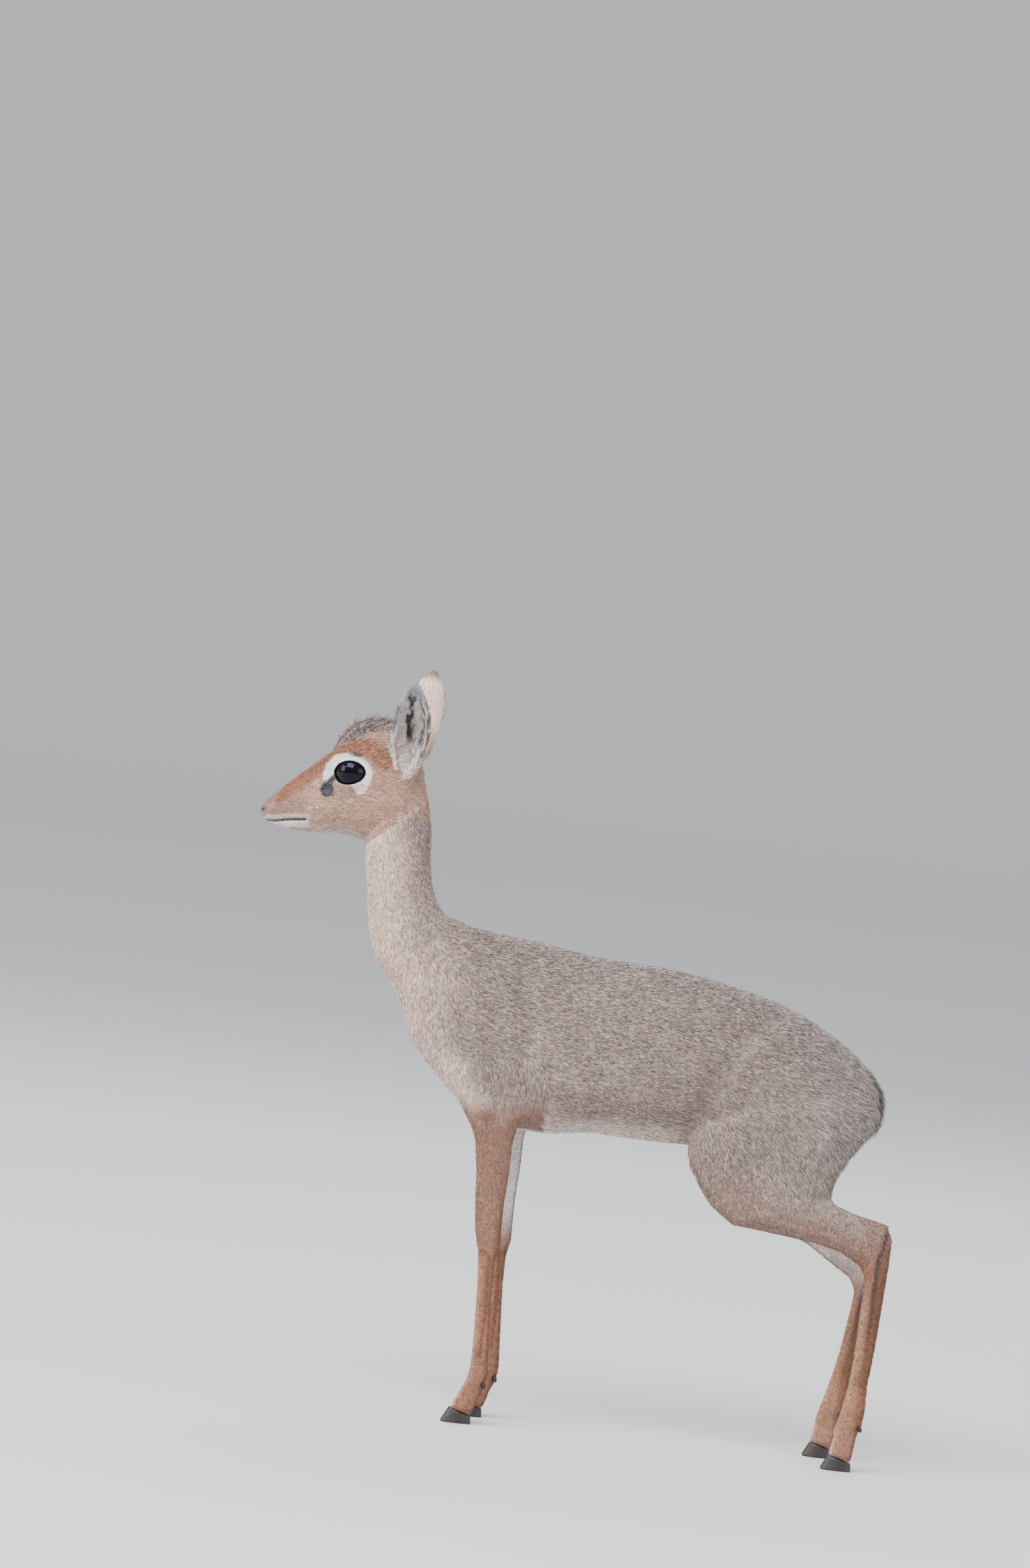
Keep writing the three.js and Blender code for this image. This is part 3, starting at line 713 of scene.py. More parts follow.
def tuft_sizes(points, normals, owners):
    """Each place's tuft length, width, lift from the skin in radians, and number of layers."""
    x, _, z = points.T
    spot = to_head(points)
    side = np.abs(spot[:, 1])
    sizes = [np.full(len(x), value) for value in (6.8, 0.62, 0.12, 2.15)]
    lower = is_node(owners, "lower_foreleg", "lower_hindleg")
    head = is_node(owners, "head", "lower_jaw", "nose")
    rise = spot[:, 2] - np.interp(spot[:, 0], CREST_X, CREST_Z)
    on_crest = head * fade(rise, -1, 4) * fade(side, 16, 9) * fade(spot[:, 0], -78, -68)
    on_crest *= fade(spot[:, 0], -8, -24)
    near_eye = head * bell(np.maximum(lid_distance(spot), 0), 6) * (side > 9)
    throat = head * fade(spot[:, 0], -30, -8) * fade(spot[:, 2], 20, 0)
    changes = [
        (is_node(owners, "neck"), (5.6, 0.55, 0.12, 2.2)),
        (fade(x, 170, 215) * fade(z, 190, 220), (8.5, 0.72, 0.14, 2.5)),
        (is_node(owners, "upper_foreleg") * fade(z, 285, 215), (3.4, 0.48, 0.12, 1.15)),
        (is_node(owners, "upper_hindleg") * fade(z, 235, 185), (3.4, 0.48, 0.12, 1.15)),
        (lower, (2.6, 0.44, 0.11, 0.72)),
        (lower * fade(z, 60, 30), (2.2, 0.4, 0.12, 0.75)),
        (is_node(owners, "tail"), (12.0, 0.75, 0.2, 6.0)),
        (head, (3.2, 0.45, 0.13, 1.4)),
        (head * fade(spot[:, 0], -45, -88), (1.7, 0.34, 0.11, 1.0)),
        (throat, (4.6, 0.52, 0.13, 2.4)),
        (on_crest, (5.0, 0.66, 0.4, 2.6)),
        (on_crest * fade(spot[:, 0], -64, -50), (11.0, 0.95, 0.85, 3.6)),
        (near_eye, (1.5, 0.32, 0.13, 1.2)),
    ]
    leaning = turned(normals, -HEAD_TURN)
    for own, (up, _, _), (_, _, opens) in ears_at(points, owners):
        share = up / EAR_LENGTH
        inwards = leaning @ opens
        changes += [
            (own, (2.3, 0.42, 0.09, 0.95)),
            (own * fade(inwards, 0.0, 0.4) * fade(share, 0.92, 0.7), (4.6, 0.36, 0.16, 1.7)),
            (own * fade(share, 0.3, 0.12) * (inwards > 0), (8.0, 0.55, 0.26, 3.4)),
        ]
    for weight, values in changes:
        for array, value in zip(sizes, values):
            array += weight * (value - array)
    return sizes


def furred(points, normals):
    """False on bare places: the nose, the glands, between the lids and lips, and where the hooves start."""
    spot = on_right_side(to_head(points))
    flat = spot[:, ::2]
    clear = np.linalg.norm(spot - EYE_CENTRE, axis=1) > EYE_RADIUS + 0.8
    clear &= lid_distance(spot) > 1.3
    clear &= -spot[:, 0] + 0.35 * (spot[:, 2] - 2) < 100.5
    clear &= segment_distance(flat, MOUTH) > 1.2
    clear &= np.linalg.norm(flat - GLAND[[0, 2]], axis=1) > 4.7
    height, upward = points[:, 2], normals[:, 2]
    keep = clear | (height <= HEAD_FROM_Z)
    keep &= (height > 12.5) | ((height > 10.5) & (np.abs(upward) < 0.5))
    return keep & ((height > 24) | (upward > -0.5))


def scattered(points, normals, triangles, owners, amount, rng):
    """Evenly spread places on the skin, as many as the tufts' sizes ask for."""
    corners = points[triangles]
    first, second, third = corners[:, 0], corners[:, 1], corners[:, 2]
    area = 0.5 * np.linalg.norm(np.cross(second - first, third - first), axis=1)
    middle = corners.mean(1)
    facing = unit(normals[triangles].mean(1))
    owner = owners[triangles[:, 0]]
    length, width, _, layers = tuft_sizes(middle, facing, owner)
    wanted = amount * area * layers / (length * width) * furred(middle, facing)
    reached = np.cumsum(wanted)
    picks = np.arange(int(reached[-1])) + rng.random(int(reached[-1]))
    chosen = np.minimum(np.searchsorted(reached, picks), len(area) - 1)
    a = rng.random(len(chosen))
    b = rng.random(len(chosen))
    over = a + b > 1
    a[over], b[over] = 1 - a[over], 1 - b[over]
    shares = np.stack([1 - a - b, a, b], -1)[..., None]
    places = (corners[chosen] * shares).sum(1)
    normal = unit((normals[triangles[chosen]] * shares).sum(1))
    return places, normal, owner[chosen]


def unwrapped(points, owners, group):
    """A place on an unwrap of the skin, from 0 to 1, and millimetres across and along the lie of the hair."""
    x, y, z = points.T
    if group in LEG_AXES:
        heights, middles, apart = LEG_AXES[group]
        turn = np.arctan2(y - np.where(y < 0, -apart, apart), x - np.interp(z, heights, middles))
        return np.where(y < 0, 0.0, 0.5) + 0.5 * (turn / (2 * math.pi) + 0.5), z / 330, turn * 8, z
    if group == "ears":
        places = np.zeros((4, len(x)))
        for number, (own, (up, back, out), _) in enumerate(ears_at(points, owners)):
            bend = np.arctan2(back, 9 - out + 0.12 * up)
            u = 0.25 * number + 0.25 * (0.5 + bend / (2 * math.pi))
            places[:, own] = np.stack([u, up / 110 + 0.1, bend * 12, up])[:, own]
        return tuple(places)
    if group == "head":
        along, across, height = to_head(points).T
        turn = np.arctan2(across, height - np.interp(along, [-110, -60, 0], [3, 18, 30]))
        start, span, radius = -115, 160, 22
    elif group == "neck":
        turn = np.arctan2(y, -(x - np.interp(z, [340, 400, 450], [-125, -142, -152])))
        along, start, span, radius = z, 320, 160, 22
    else:
        turn = np.arctan2(y, z - 295)
        along, start, span, radius = x, -140, 400, 52
    return turn / (2 * math.pi) + 0.5, (along - start) / span, turn * radius, along


def tuft_meshes(places, normals, owners, colours, ticks, rng, spread):
    """The seven corners of every tuft, and their colours."""
    count = len(places)
    length, width, lift, _ = tuft_sizes(places, normals, owners)
    way = lie_of_coat(places, normals, owners)
    across = np.cross(normals, way)
    swing = rng.normal(0, spread, count)[:, None]
    way = unit(way * np.cos(swing) + across * np.sin(swing))
    across = np.cross(normals, way)
    standing = fade(lift, 0.3, 0.5)
    length = (length * rng.uniform(0.7, 1.2, count) * (1 - 0.45 * standing * rng.random(count)))[:, None]
    width = (width * rng.uniform(0.75, 1.25, count))[:, None]
    lift = (lift * rng.uniform(0.5, 1.6, count))[:, None]
    height = 0.45 * width
    root = places - 0.25 * height * normals
    middle = places + 0.48 * length * way + normals * (0.5 * length * np.sin(lift) + 0.12)
    sideways = across * width * rng.normal(0, 0.5, (count, 1))
    tip = places + length * (way * np.cos(lift) + normals * np.sin(lift)) + sideways
    corners = np.stack([
        root - 0.32 * width * across, root + height * 0.7 * normals, root + 0.32 * width * across,
        middle - 0.5 * width * across, middle + height * normals, middle + 0.5 * width * across,
        tip,
    ], 1)
    pick = rng.random(count)
    bright = rng.normal(1.0, 0.13, count)
    pale = (pick < 0.34 * ticks)[:, None]
    dark = (pick > 1 - 0.3 * ticks)[:, None]
    shade = colours * bright[:, None]
    rooted = shade * 0.84
    banded = np.where(pale, shade * 0.52 + 0.48 * PALE_TICK, np.where(dark, shade * 0.6, shade))
    tipped = np.where(pale, shade * 0.95, np.where(dark, shade * 0.3 + 0.25 * DARK_TICK, shade * 1.03))
    paint = np.empty((count, 7, 4), np.float32)
    paint[..., 3] = 1
    paint[:, :3, :3] = rooted[:, None]
    paint[:, 3:6, :3] = banded[:, None]
    paint[:, 6, :3] = tipped
    return corners, paint


def set_attribute(mesh, name, kind, values):
    """An attribute with one value for each point."""
    attribute = mesh.attributes.new(name, kind, "POINT")
    key = {"FLOAT_COLOR": "color", "FLOAT_VECTOR": "vector", "FLOAT": "value"}[kind]
    attribute.data.foreach_set(key, np.ascontiguousarray(values, np.float32).ravel())


def coat_piece(name, corners, paint, u, v):
    """One mesh of tufts, with each tuft a small patch of the OFBake map."""
    faces = (TUFT_FACES[None] + 7 * np.arange(len(corners))[:, None, None]).reshape(-1, 3)
    item = mesh_object(name, corners.reshape(-1, 3), faces)
    set_attribute(item.data, "coat_colour", "FLOAT_COLOR", paint)
    centre = np.clip(np.stack([u, v], -1), TUFT_PATCH, 1 - TUFT_PATCH)
    spots = (centre[:, None] + TUFT_SPOTS * TUFT_PATCH / 2).reshape(-1, 2)
    layer = item.data.uv_layers.new(name="OFBake")
    layer.data.foreach_set("uv", spots[faces.ravel()].astype(np.float32).ravel())
    return item


# Materials

def add_node(tree, kind, inputs=None, **settings):
    """A shader node with its settings, and each input set to a value or linked to a socket."""
    node = tree.nodes.new("ShaderNode" + kind)
    for key, value in settings.items():
        setattr(node, key, value)
    for key, value in (inputs or {}).items():
        if isinstance(value, bpy.types.NodeSocket):
            tree.links.new(value, node.inputs[key])
        else:
            node.inputs[key].default_value = value
    return node


def new_material(name):
    """A material with an empty node tree."""
    material = bpy.data.materials.new(name)
    material.use_nodes = True
    tree = material.node_tree
    tree.nodes.clear()
    return material, tree


def finish(tree, inputs):
    """Ends a material in a Principled BSDF with these inputs."""
    shader = add_node(tree, "BsdfPrincipled", inputs)
    add_node(tree, "OutputMaterial", {"Surface": shader.outputs[0]})


def colour_steps(tree, value, steps):
    """Linear colours that follow a value, as a colour ramp with these positions."""
    ramp = add_node(tree, "ValToRGB", {"Fac": value})
    stops = ramp.color_ramp.elements
    for index, (position, colour) in enumerate(steps):
        stop = stops[index] if index < 2 else stops.new(position)
        stop.position, stop.color = position, (*colour, 1)
    return ramp.outputs["Color"]


def toned(tree, value, low, high, darkest, palest):
    """The coat's own colour, darker and paler as a pattern's value goes from low to high."""
    colour = add_node(tree, "Attribute", attribute_name="coat_colour")
    tone = add_node(tree, "MapRange", {
        "Value": value, "From Min": low, "From Max": high, "To Min": darkest, "To Max": palest})
    return add_node(tree, "VectorMath", {0: colour.outputs["Color"], "Scale": tone.outputs[0]},
                    operation="SCALE").outputs[0]


def sleek_hair_over_skin():
    """Skin under very short flat hair: matt, with fine streaks along the hair. Bare skin is smoother."""
    material, tree = new_material("Sleek short hair over skin")
    grain = add_node(tree, "Attribute", attribute_name="grain").outputs["Vector"]
    bare = add_node(tree, "Attribute", attribute_name="bare").outputs["Fac"]
    # Streaks about 0.5 mm apart and 3 mm long; real hairs are 0.05 mm apart, too fine to show.
    lengthwise = add_node(tree, "Mapping", {"Vector": grain, "Scale": (1.0, 0.17, 1.0)})
    streaks = add_node(tree, "TexNoise", {
        "Vector": lengthwise.outputs[0], "Scale": 1.9, "Detail": 3.0, "Roughness": 0.6}).outputs["Fac"]
    # Pores about 0.7 mm apart on the bare skin.
    place = add_node(tree, "TexCoord").outputs["Object"]
    pores = add_node(tree, "TexNoise", {"Vector": place, "Scale": 1400.0, "Detail": 2.0}).outputs["Fac"]
    relief_of_both = add_node(tree, "Mix", {"Factor": bare, "A": streaks, "B": pores}, data_type="FLOAT")
    bump = add_node(tree, "Bump", {
        "Height": relief_of_both.outputs["Result"], "Strength": 0.55, "Distance": 0.0005})
    rough = add_node(tree, "MapRange", {"Value": bare, "To Min": 0.78, "To Max": 0.38})
    finish(tree, {
        "Base Color": toned(tree, streaks, 0.3, 0.7, 0.82, 1.12), "Roughness": rough.outputs[0],
        "Normal": bump.outputs[0], "Sheen Weight": 0.12, "Sheen Roughness": 0.5, "IOR": 1.45})
    return material


def tufted_hair():
    """Keratin hair in small tufts: each catches a soft light along its back, and no two are quite alike."""
    material, tree = new_material("Tufted agouti hair")
    # Flecks about 1 mm across, coarser than the bands of single hairs, so that they show.
    place = add_node(tree, "TexCoord").outputs["Object"]
    flecks = add_node(tree, "TexNoise", {"Vector": place, "Scale": 900.0, "Detail": 2.0}).outputs["Fac"]
    finish(tree, {
        "Base Color": toned(tree, flecks, 0.34, 0.66, 0.74, 1.24), "Roughness": 0.62, "Sheen Weight": 0.1,
        "Sheen Roughness": 0.5, "IOR": 1.55})
    return material


def wet_cornea(colours):
    """A wet eye, dark brown to black: near-mirror gloss over an iris almost as dark as the pupil."""
    material, tree = new_material("Wet dark eye")
    depth = add_node(tree, "Attribute", attribute_name="iris").outputs["Fac"]
    colour = colour_steps(tree, depth, (
        (0.30, colours["pupil"]), (0.36, colours["iris"]),
        (0.80, colours["iris"]), (0.86, colours["eye_edge"])))
    finish(tree, {
        "Base Color": colour, "Roughness": 0.03, "IOR": 1.336, "Specular Tint": (0.66, 0.68, 1.0, 1.0)})
    return material


def worn_horn(colours):
    """Hoof horn, grown in rings and worn satin: dark, with fine streaks down from the coronet."""
    material, tree = new_material("Worn dark horn")
    # Streaks about 0.7 mm apart run down the wall.
    place = add_node(tree, "TexCoord").outputs["Object"]
    upright = add_node(tree, "Mapping", {"Vector": place, "Scale": (1.0, 1.0, 0.16)})
    streaks = add_node(tree, "TexNoise", {
        "Vector": upright.outputs[0], "Scale": 1500.0, "Detail": 3.0}).outputs["Fac"]
    bump = add_node(tree, "Bump", {"Height": streaks, "Strength": 0.4, "Distance": 0.0003})
    finish(tree, {
        "Base Color": colour_steps(tree, streaks, ((0.35, colours["horn"]), (0.75, colours["horn_pale"]))),
        "Roughness": 0.42, "IOR": 1.54, "Normal": bump.outputs[0]})
    return material


def matt_card(colour):
    """Seamless studio card: matt, with no gloss to compete with the animal."""
    material, tree = new_material("Pale card")
    finish(tree, {"Base Color": (*colour, 1), "Roughness": 0.9, "IOR": 1.4})
    return material


# Sizes and colours that a user would change

def colour_property(name, code, description):
    return FloatVectorProperty(
        name=name, default=linear(code), size=3, min=0, max=1, subtype="COLOR", description=description)


COLOURS = {
    "grizzle": ("Grizzle", "#a38d84", "Ticked grey-brown of the trunk"),
    "grey": ("Rump grey", "#aa9d99", "Greyer coat of the back and rump"),
    "buff": ("Buff", "#f2d3c0", "Front of the neck and the chest"),
    "cream": ("Cream", "#caa897", "Belly"),
    "white": ("White", "#f6f0ed", "Eye ring, lips and inner legs"),
    "tan": ("Tan", "#8e6552", "Legs"),
    # Pale tan is partly a painted highlight on the fronts of the legs.
    "pale_tan": ("Pale tan", "#b98d72", "Fronts of the legs"),
    "rufous": ("Rufous", "#985d3c", "Brow, bridge of the nose and shins"),
    # Russet is partly painted shade on the backs of the legs and in the creases under the knees.
    "russet": ("Russet", "#70401f", "Backs of the legs"),
    "cheek": ("Cheek", "#caa38c", "Cheeks"),
    "jaw": ("Jaw", "#b5927f", "Jaw and throat"),
    "muzzle": ("Muzzle", "#957263", "Sides of the muzzle"),
    "crest": ("Crest", "#9a8b88", "Grizzled crest of the forehead"),
    # Dark also paints shade along the hock groove and in the nostrils.
    "dark": ("Dark", "#3a2f2c", "Hock stripe, tail and brow mark"),
    "nose": ("Nose", "#7d5a51", "Bare skin of the nose"),
    # The mouth colour is painted shade in the slit between the lips.
    "mouth": ("Mouth", "#2d2424", "Line between the lips"),
    "gland": ("Tear gland", "#151b2c", "Bare gland in front of the eye"),
    "lid": ("Lid edge", "#1d1717", "Bare edge of the lids"),
    "ear_back": ("Ear back", "#f6dccb", "Outer side of the ears"),
    "ear_hair": ("Ear hair", "#d6cfd0", "Long pale hair inside the ears"),
    "ear_dark": ("Ear stripes", "#38221f", "Dark skin between the ear's hairs"),
    "ear_rim": ("Ear rim", "#8b8c93", "Grey upper edge inside the ears"),
    "pupil": ("Pupil", "#050304", "Middle of the eye"),
    "iris": ("Iris", "#0d0706", "Round the pupil"),
    "eye_edge": ("Eye edge", "#2a201e", "White of the eye, which is dark here"),
    "horn": ("Horn", "#181413", "Hooves and dewclaws"),
    "horn_pale": ("Worn horn", "#3a322e", "Worn streaks of the hooves"),
    "card": ("Card", "#dcdcd9", "Floor and backdrop"),
}


class DikDikColours(bpy.types.PropertyGroup):
    """Colours of the coat, skin, eyes, hooves and stage."""

    __annotations__ = {key: colour_property(*values) for key, values in COLOURS.items()}


class DikDikSizes(bpy.types.PropertyGroup):
    """Sizes of the coat and the stage."""

    amount: FloatProperty(
        name="Amount", default=0.97, min=0.05, max=1.2, description="Share of the tufts to make")
    spread: FloatProperty(
        name="Spread", default=math.radians(9), min=0, max=1, subtype="ANGLE",
        description="How far tufts stray from the lie of the coat")
    seed: IntProperty(name="Seed", default=7, min=0, description="Which random coat is made")
    skin_faces: IntProperty(
        name="Skin faces", default=188000, min=20000, description="Triangles left in the skin")
    distance: FloatProperty(
        name="Camera distance", default=7.0, min=1, unit="LENGTH",
        description="From the camera to the animal's middle plane")
    elevation: FloatProperty(
        name="Camera elevation", default=math.radians(2.5), subtype="ANGLE",
        description="Angle at which the camera looks down")
    roll: FloatProperty(
        name="Camera roll", default=math.radians(7), subtype="ANGLE",
        description="How far the picture is tilted")


def picked_colours(context):
    """The panel's colours by key, as linear tuples."""
    return {key: tuple(getattr(context.scene.dikdik_colours, key)) for key in COLOURS}


def declare(item, nodes=()):
    """Says which body the piece rides on, and hides the CAD nodes it stands for."""
    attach(item, "root")
    if nodes:
        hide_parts(*nodes)


class DIKDIK_OT_skin(bpy.types.Operator):
    """Makes the one skin that stands for every node of flesh"""

    bl_idname = "dikdik.skin"
    bl_label = "Skin"

    def execute(self, context):
        sizes = context.scene.dikdik_sizes
        points, quads = skin_surface()
        item = mesh_object("skin", points, quads)
        # The head keeps its fine faces, and all the rest is thinned.
        plain = item.vertex_groups.new(name="plain")
        steps = np.round(fade(-points[:, 2] + 0.9 * points[:, 0], -560, -520), 1)
        for weight in np.unique(steps):
            plain.add(np.nonzero(steps == weight)[0].tolist(), float(weight), "REPLACE")
        thin = item.modifiers.new("Thin", "DECIMATE")
        thin.ratio = sizes.skin_faces / (2 * len(quads))
        thin.vertex_group = "plain"
        applied(item)
        item.vertex_groups.clear()
        points, normals, _ = arrays_of(item)
        owners = nearest_nodes(points)
        colours, ticks = Markings(picked_colours(context)).at(points, normals, owners)
        rng = np.random.default_rng(sizes.seed)
        colours *= (1 + ticks * rng.normal(0, 0.16, len(ticks)))[:, None]
        paint = np.concatenate([np.clip(colours, 0, 1), np.ones((len(colours), 1))], 1)
        set_attribute(item.data, "coat_colour", "FLOAT_COLOR", paint)
        grain = np.zeros((len(points), 3))
        for group, (words, _) in GROUPS.items():
            own = is_node(owners, *words)
            _, _, across, along = unwrapped(points[own], owners[own], group)
            grain[own, 0], grain[own, 1] = across, along
        set_attribute(item.data, "grain", "FLOAT_VECTOR", grain)
        bare = ~furred(points, normals) & (points[:, 2] > HEAD_FROM_Z)
        set_attribute(item.data, "bare", "FLOAT", bare)
        item.data.materials.append(sleek_hair_over_skin())
        declare(item, FLESH_NODES)
        return {"FINISHED"}


class DIKDIK_OT_coat(bpy.types.Operator):
    """Covers the skin with tufts, in pieces for the trunk, neck, head, ears, legs and tail"""

    bl_idname = "dikdik.coat"
    bl_label = "Coat"

    def execute(self, context):
        sizes = context.scene.dikdik_sizes
        rng = np.random.default_rng(sizes.seed + 1)
        points, normals, triangles = arrays_of(bpy.data.objects["skin"])
        owners = nearest_nodes(points)
        places, normal, owner = scattered(points, normals, triangles, owners, sizes.amount, rng)
        keep = furred(places, normal)
        places, normal, owner = places[keep], normal[keep], owner[keep]
        colours, ticks = Markings(picked_colours(context)).at(places, normal, owner)
        corners, paint = tuft_meshes(places, normal, owner, colours, ticks, rng, sizes.spread)
        hair = tufted_hair()
        for group, (words, slot) in GROUPS.items():
            own = np.nonzero(is_node(owner, *words))[0]
            own = own[np.argsort(places[own, 0], kind="stable")]
            parts = max(1, math.ceil(len(own) / TUFTS_PER_PIECE))
            for number, some in enumerate(np.array_split(own, parts)):
                u, v, _, _ = unwrapped(places[some], owner[some], group)
                name = f"coat_{group}" if parts == 1 else f"coat_{group}_{number + 1}"
                item = coat_piece(name, corners[some], paint[some], u, v)
                item.data.materials.append(hair)
                declare(item)
        return {"FINISHED"}


class DIKDIK_OT_eyes(bpy.types.Operator):
    """Makes the wet eyeballs with their clear bulge in front"""

    bl_idname = "dikdik.eyes"
    bl_label = "Eyes"

    def execute(self, context):
        material = wet_cornea(picked_colours(context))
        count, around = 40, 64
        axis, level, upright = eye_axes()
        angle = np.linspace(0, 0.62 * math.pi, count + 1)
        radius = EYE_RADIUS + 0.75 * np.exp(-((angle / 0.62) ** 4))
        turn = np.arange(around) / around * 2 * math.pi
        out = np.cos(turn)[:, None] * level + np.sin(turn)[:, None] * upright
        ball = np.sin(angle)[1:, None, None] * out + np.cos(angle)[1:, None, None] * axis
        back = axis * EYE_RADIUS * math.cos(angle[-1])
        points, faces = closed_rings(ball * radius[1:, None, None], axis * radius[0], back)
        # The iris is longer than it is high.
        long = np.tile(1 - 0.28 * np.abs(np.cos(turn)), count)
        iris = np.concatenate([np.repeat(angle[1:], around) * long, [0, angle[-1]]])
        for word, side in (("left", -1), ("right", 1)):
            placed = from_head((points + EYE_CENTRE) * [1, side, 1])
            item = mesh_object(f"eyeball_{word}", placed, faces if side < 0 else faces[:, ::-1])
            set_attribute(item.data, "iris", "FLOAT", iris)
            item.data.materials.append(material)
            declare(item, [f"eye_{word}"])
        return {"FINISHED"}


class DIKDIK_OT_hooves(bpy.types.Operator):
    """Makes the hooves, with growth rings and rounded edges, and the dewclaws"""

    bl_idname = "dikdik.hooves"
    bl_label = "Hooves"

    def execute(self, context):
        material = worn_horn(picked_colours(context))
        for names, make in ((HOOF_NODES, self.hoof), (DEWCLAW_NODES, self.dewclaw)):
            for name in names:
                item = make(name)
                item.data.materials.append(material)
                declare(item, [name])
        return {"FINISHED"}

    def hoof(self, name):
        """One toe: rings that narrow and slope back from the sole to the coronet, as the CAD node does."""
        low, high = (np.array(corner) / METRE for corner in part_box(name))
        centre = (low + high) / 2
        foot = name[len("hoof_"):].rsplit("_", 1)[0]
        outward = 1.0 if centre[1] > FEET_Y[foot] else -1.0
        length, top_length, set_back, width, toe, heel, turn_out = 23.5, 17.4, 2.5, 8.6, 11.0, 6.0, 0.06
        around, clearance = 48, 0.1
        turn = np.arange(around) / around * 2 * math.pi
        back = np.cos(turn)
        narrowing = np.where(back < 0, np.sqrt(np.maximum(1 - 0.45 * back**2, 0)), 1 - 0.12 * back)
        height = toe + (heel - toe) * (back + 1) / 2
        levels = np.concatenate([[0.0, 0.0, 0.04], np.linspace(0.1, 0.94, 22), [0.985, 1.0, 1.0]])
        tuck = np.concatenate([[1.6, 0.45, 0.1], np.zeros(22), [0.12, 0.5, 1.8]])
        growth = 0.1 * np.sin(np.linspace(0, 7.5 * 2 * math.pi, len(levels))) * (tuck == 0)
        rings = []
        for level, inset in zip(levels, growth - tuck - clearance):
            half_length = (length + (top_length - length) * level) / 2 + inset
            half_width = width / 2 * (1 - 0.06 * level) + inset
            across = np.sin(turn) * half_width * narrowing
            rings.append(np.stack([back * half_length + set_back * level, across, level * height], -1))
        points, faces = closed_rings(np.array(rings), rings[0].mean(0), rings[-1].mean(0))
        placed = turned(points, -outward * turn_out) + [centre[0], centre[1], 0]
        return mesh_object(name.replace("hoof", "horn"), placed, faces)

    def dewclaw(self, name):
        """The CAD node's mesh, merged and rounded."""
        mesh = NODES[name].data.copy()
        mesh.name = name.replace("dewclaw", "claw")
        item = bpy.data.objects.new(mesh.name, mesh)
        bpy.context.collection.objects.link(item)
        weld = item.modifiers.new("Weld", "WELD")
        weld.merge_threshold = 0.00002
        smooth = item.modifiers.new("Smooth", "SUBSURF")
        smooth.levels = smooth.render_levels = 2
        applied(item)
        item.data.materials.clear()
        item.data.shade_smooth()
        return item


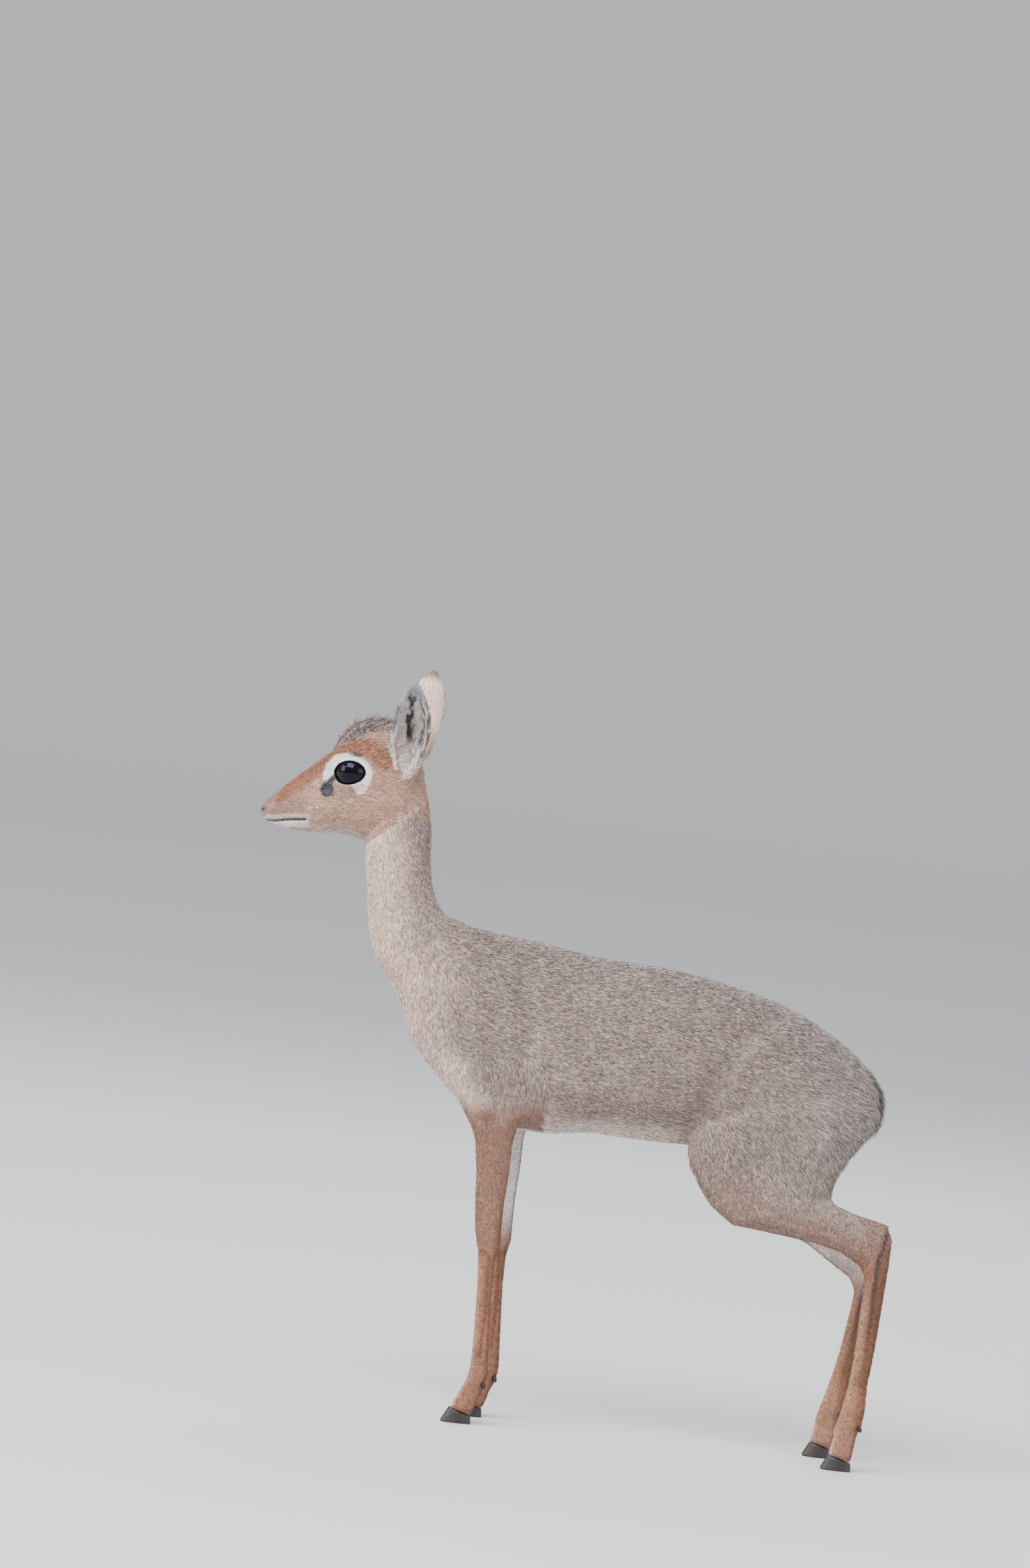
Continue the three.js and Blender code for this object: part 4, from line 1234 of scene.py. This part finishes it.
class DIKDIK_OT_stage(bpy.types.Operator):
    """Sets the pale floor and backdrop, the soft lights and the camera"""

    bl_idname = "dikdik.stage"
    bl_label = "Stage"

    def execute(self, context):
        around = 96
        floor, curve, rim = 8.5, 1.6, 2.8
        bend = np.linspace(0, 0.5 * math.pi, 17)
        radius = np.concatenate([[0.5, 3.0, 5.5], floor + curve * np.sin(bend), [floor + curve]]) / METRE
        height = np.concatenate([[0.0, 0.0, 0.0], curve - curve * np.cos(bend), [rim]]) / METRE
        turn = np.arange(around) / around * 2 * math.pi
        rings = [radius[:, None] * np.cos(turn), radius[:, None] * np.sin(turn), height[:, None] + 0 * turn]
        bowl = np.stack(rings, -1).reshape(-1, 3)
        here, after = ring_steps(len(radius), around)
        # Strips of quads fill the middle ring, from one side to the other.
        strip = np.arange(around // 2 - 1)
        middle = np.stack([strip, strip + 1, around - 2 - strip, around - 1 - strip], 1)
        quads = np.vstack([np.stack([here, here + around, after + around, after], 1), middle])
        item = mesh_object("card", bowl, quads)
        item.data.materials.append(matt_card(picked_colours(context)["card"]))
        self.light("Overcast", (-1.2, -2.6, 3.4), (3.2, 2.4), 250, (1.0, 0.985, 0.97))
        self.light("From the front", (-3.2, -1.2, 1.4), (1.8, 1.8), 78, (1.0, 0.97, 0.94))
        self.light("From the right", (2.8, -1.6, 1.2), (1.6, 1.6), 24, (0.93, 0.96, 1.0))
        self.light("From behind", (0.6, 2.4, 2.2), (2.0, 1.2), 42, (0.95, 0.97, 1.0))
        world = bpy.data.worlds.new("Soft room")
        world.use_nodes = True
        world.node_tree.nodes["Background"].inputs["Color"].default_value = (0.86, 0.9, 1.0, 1)
        world.node_tree.nodes["Background"].inputs["Strength"].default_value = 0.86
        context.scene.world = world
        self.camera(context, context.scene.dikdik_sizes)
        return {"FINISHED"}

    def light(self, name, place, size, power, colour):
        """A soft rectangular light that faces the animal, in metres and watts."""
        lamp = bpy.data.lights.new(name, "AREA")
        lamp.shape = "RECTANGLE"
        lamp.size, lamp.size_y = size
        lamp.energy = power
        lamp.color = colour
        item = bpy.data.objects.new(name, lamp)
        item.location = place
        item.rotation_euler = (Vector((0, 0, 0.3)) - Vector(place)).to_track_quat("-Z", "Y").to_euler()
        item.visible_camera = False
        bpy.context.collection.objects.link(item)

    def camera(self, context, sizes):
        """The camera at the photo's angle, which sees frame_height metres of the animal's middle plane."""
        target = Vector((-0.0677, 0, 0.4849))
        frame_height, sensor = 1.190, 36
        lens = bpy.data.cameras.new("Camera")
        lens.sensor_width = sensor
        lens.lens = sensor * sizes.distance / frame_height
        lens.clip_end = 60
        back = Vector((0, -math.cos(sizes.elevation), math.sin(sizes.elevation)))
        right = Vector((math.cos(sizes.roll), 0, math.sin(sizes.roll)))
        right = (right - right.dot(back) * back).normalized()
        up = back.cross(right)
        item = bpy.data.objects.new("Camera", lens)
        item.matrix_world = Matrix.Translation(target + back * sizes.distance) @ Matrix(
            (right, up, back)).transposed().to_4x4()
        bpy.context.collection.objects.link(item)
        context.scene.camera = item


class DIKDIK_PT_panel(bpy.types.Panel):
    """Lists the steps that build the dik-dik"""

    bl_idname = "DIKDIK_PT_panel"
    bl_label = "Dik-dik"
    bl_space_type = "VIEW_3D"
    bl_region_type = "UI"
    bl_category = "Dik-dik"

    def draw(self, context):
        for operator in OPERATORS:
            self.layout.operator(operator.bl_idname)
        for key in DikDikSizes.__annotations__:
            self.layout.prop(context.scene.dikdik_sizes, key)
        for key in COLOURS:
            self.layout.prop(context.scene.dikdik_colours, key)


OPERATORS = (DIKDIK_OT_skin, DIKDIK_OT_coat, DIKDIK_OT_eyes, DIKDIK_OT_hooves, DIKDIK_OT_stage)
CLASSES = (DikDikColours, DikDikSizes, *OPERATORS, DIKDIK_PT_panel)


def register():
    for item in CLASSES:
        bpy.utils.register_class(item)
    bpy.types.Scene.dikdik_colours = PointerProperty(type=DikDikColours)
    bpy.types.Scene.dikdik_sizes = PointerProperty(type=DikDikSizes)


def unregister():
    del bpy.types.Scene.dikdik_sizes
    del bpy.types.Scene.dikdik_colours
    for item in reversed(CLASSES):
        bpy.utils.unregister_class(item)


def main():
    register()
    bpy.ops.dikdik.skin()
    bpy.ops.dikdik.coat()
    bpy.ops.dikdik.eyes()
    bpy.ops.dikdik.hooves()
    bpy.ops.dikdik.stage()


if __name__ == "__main__":
    main()
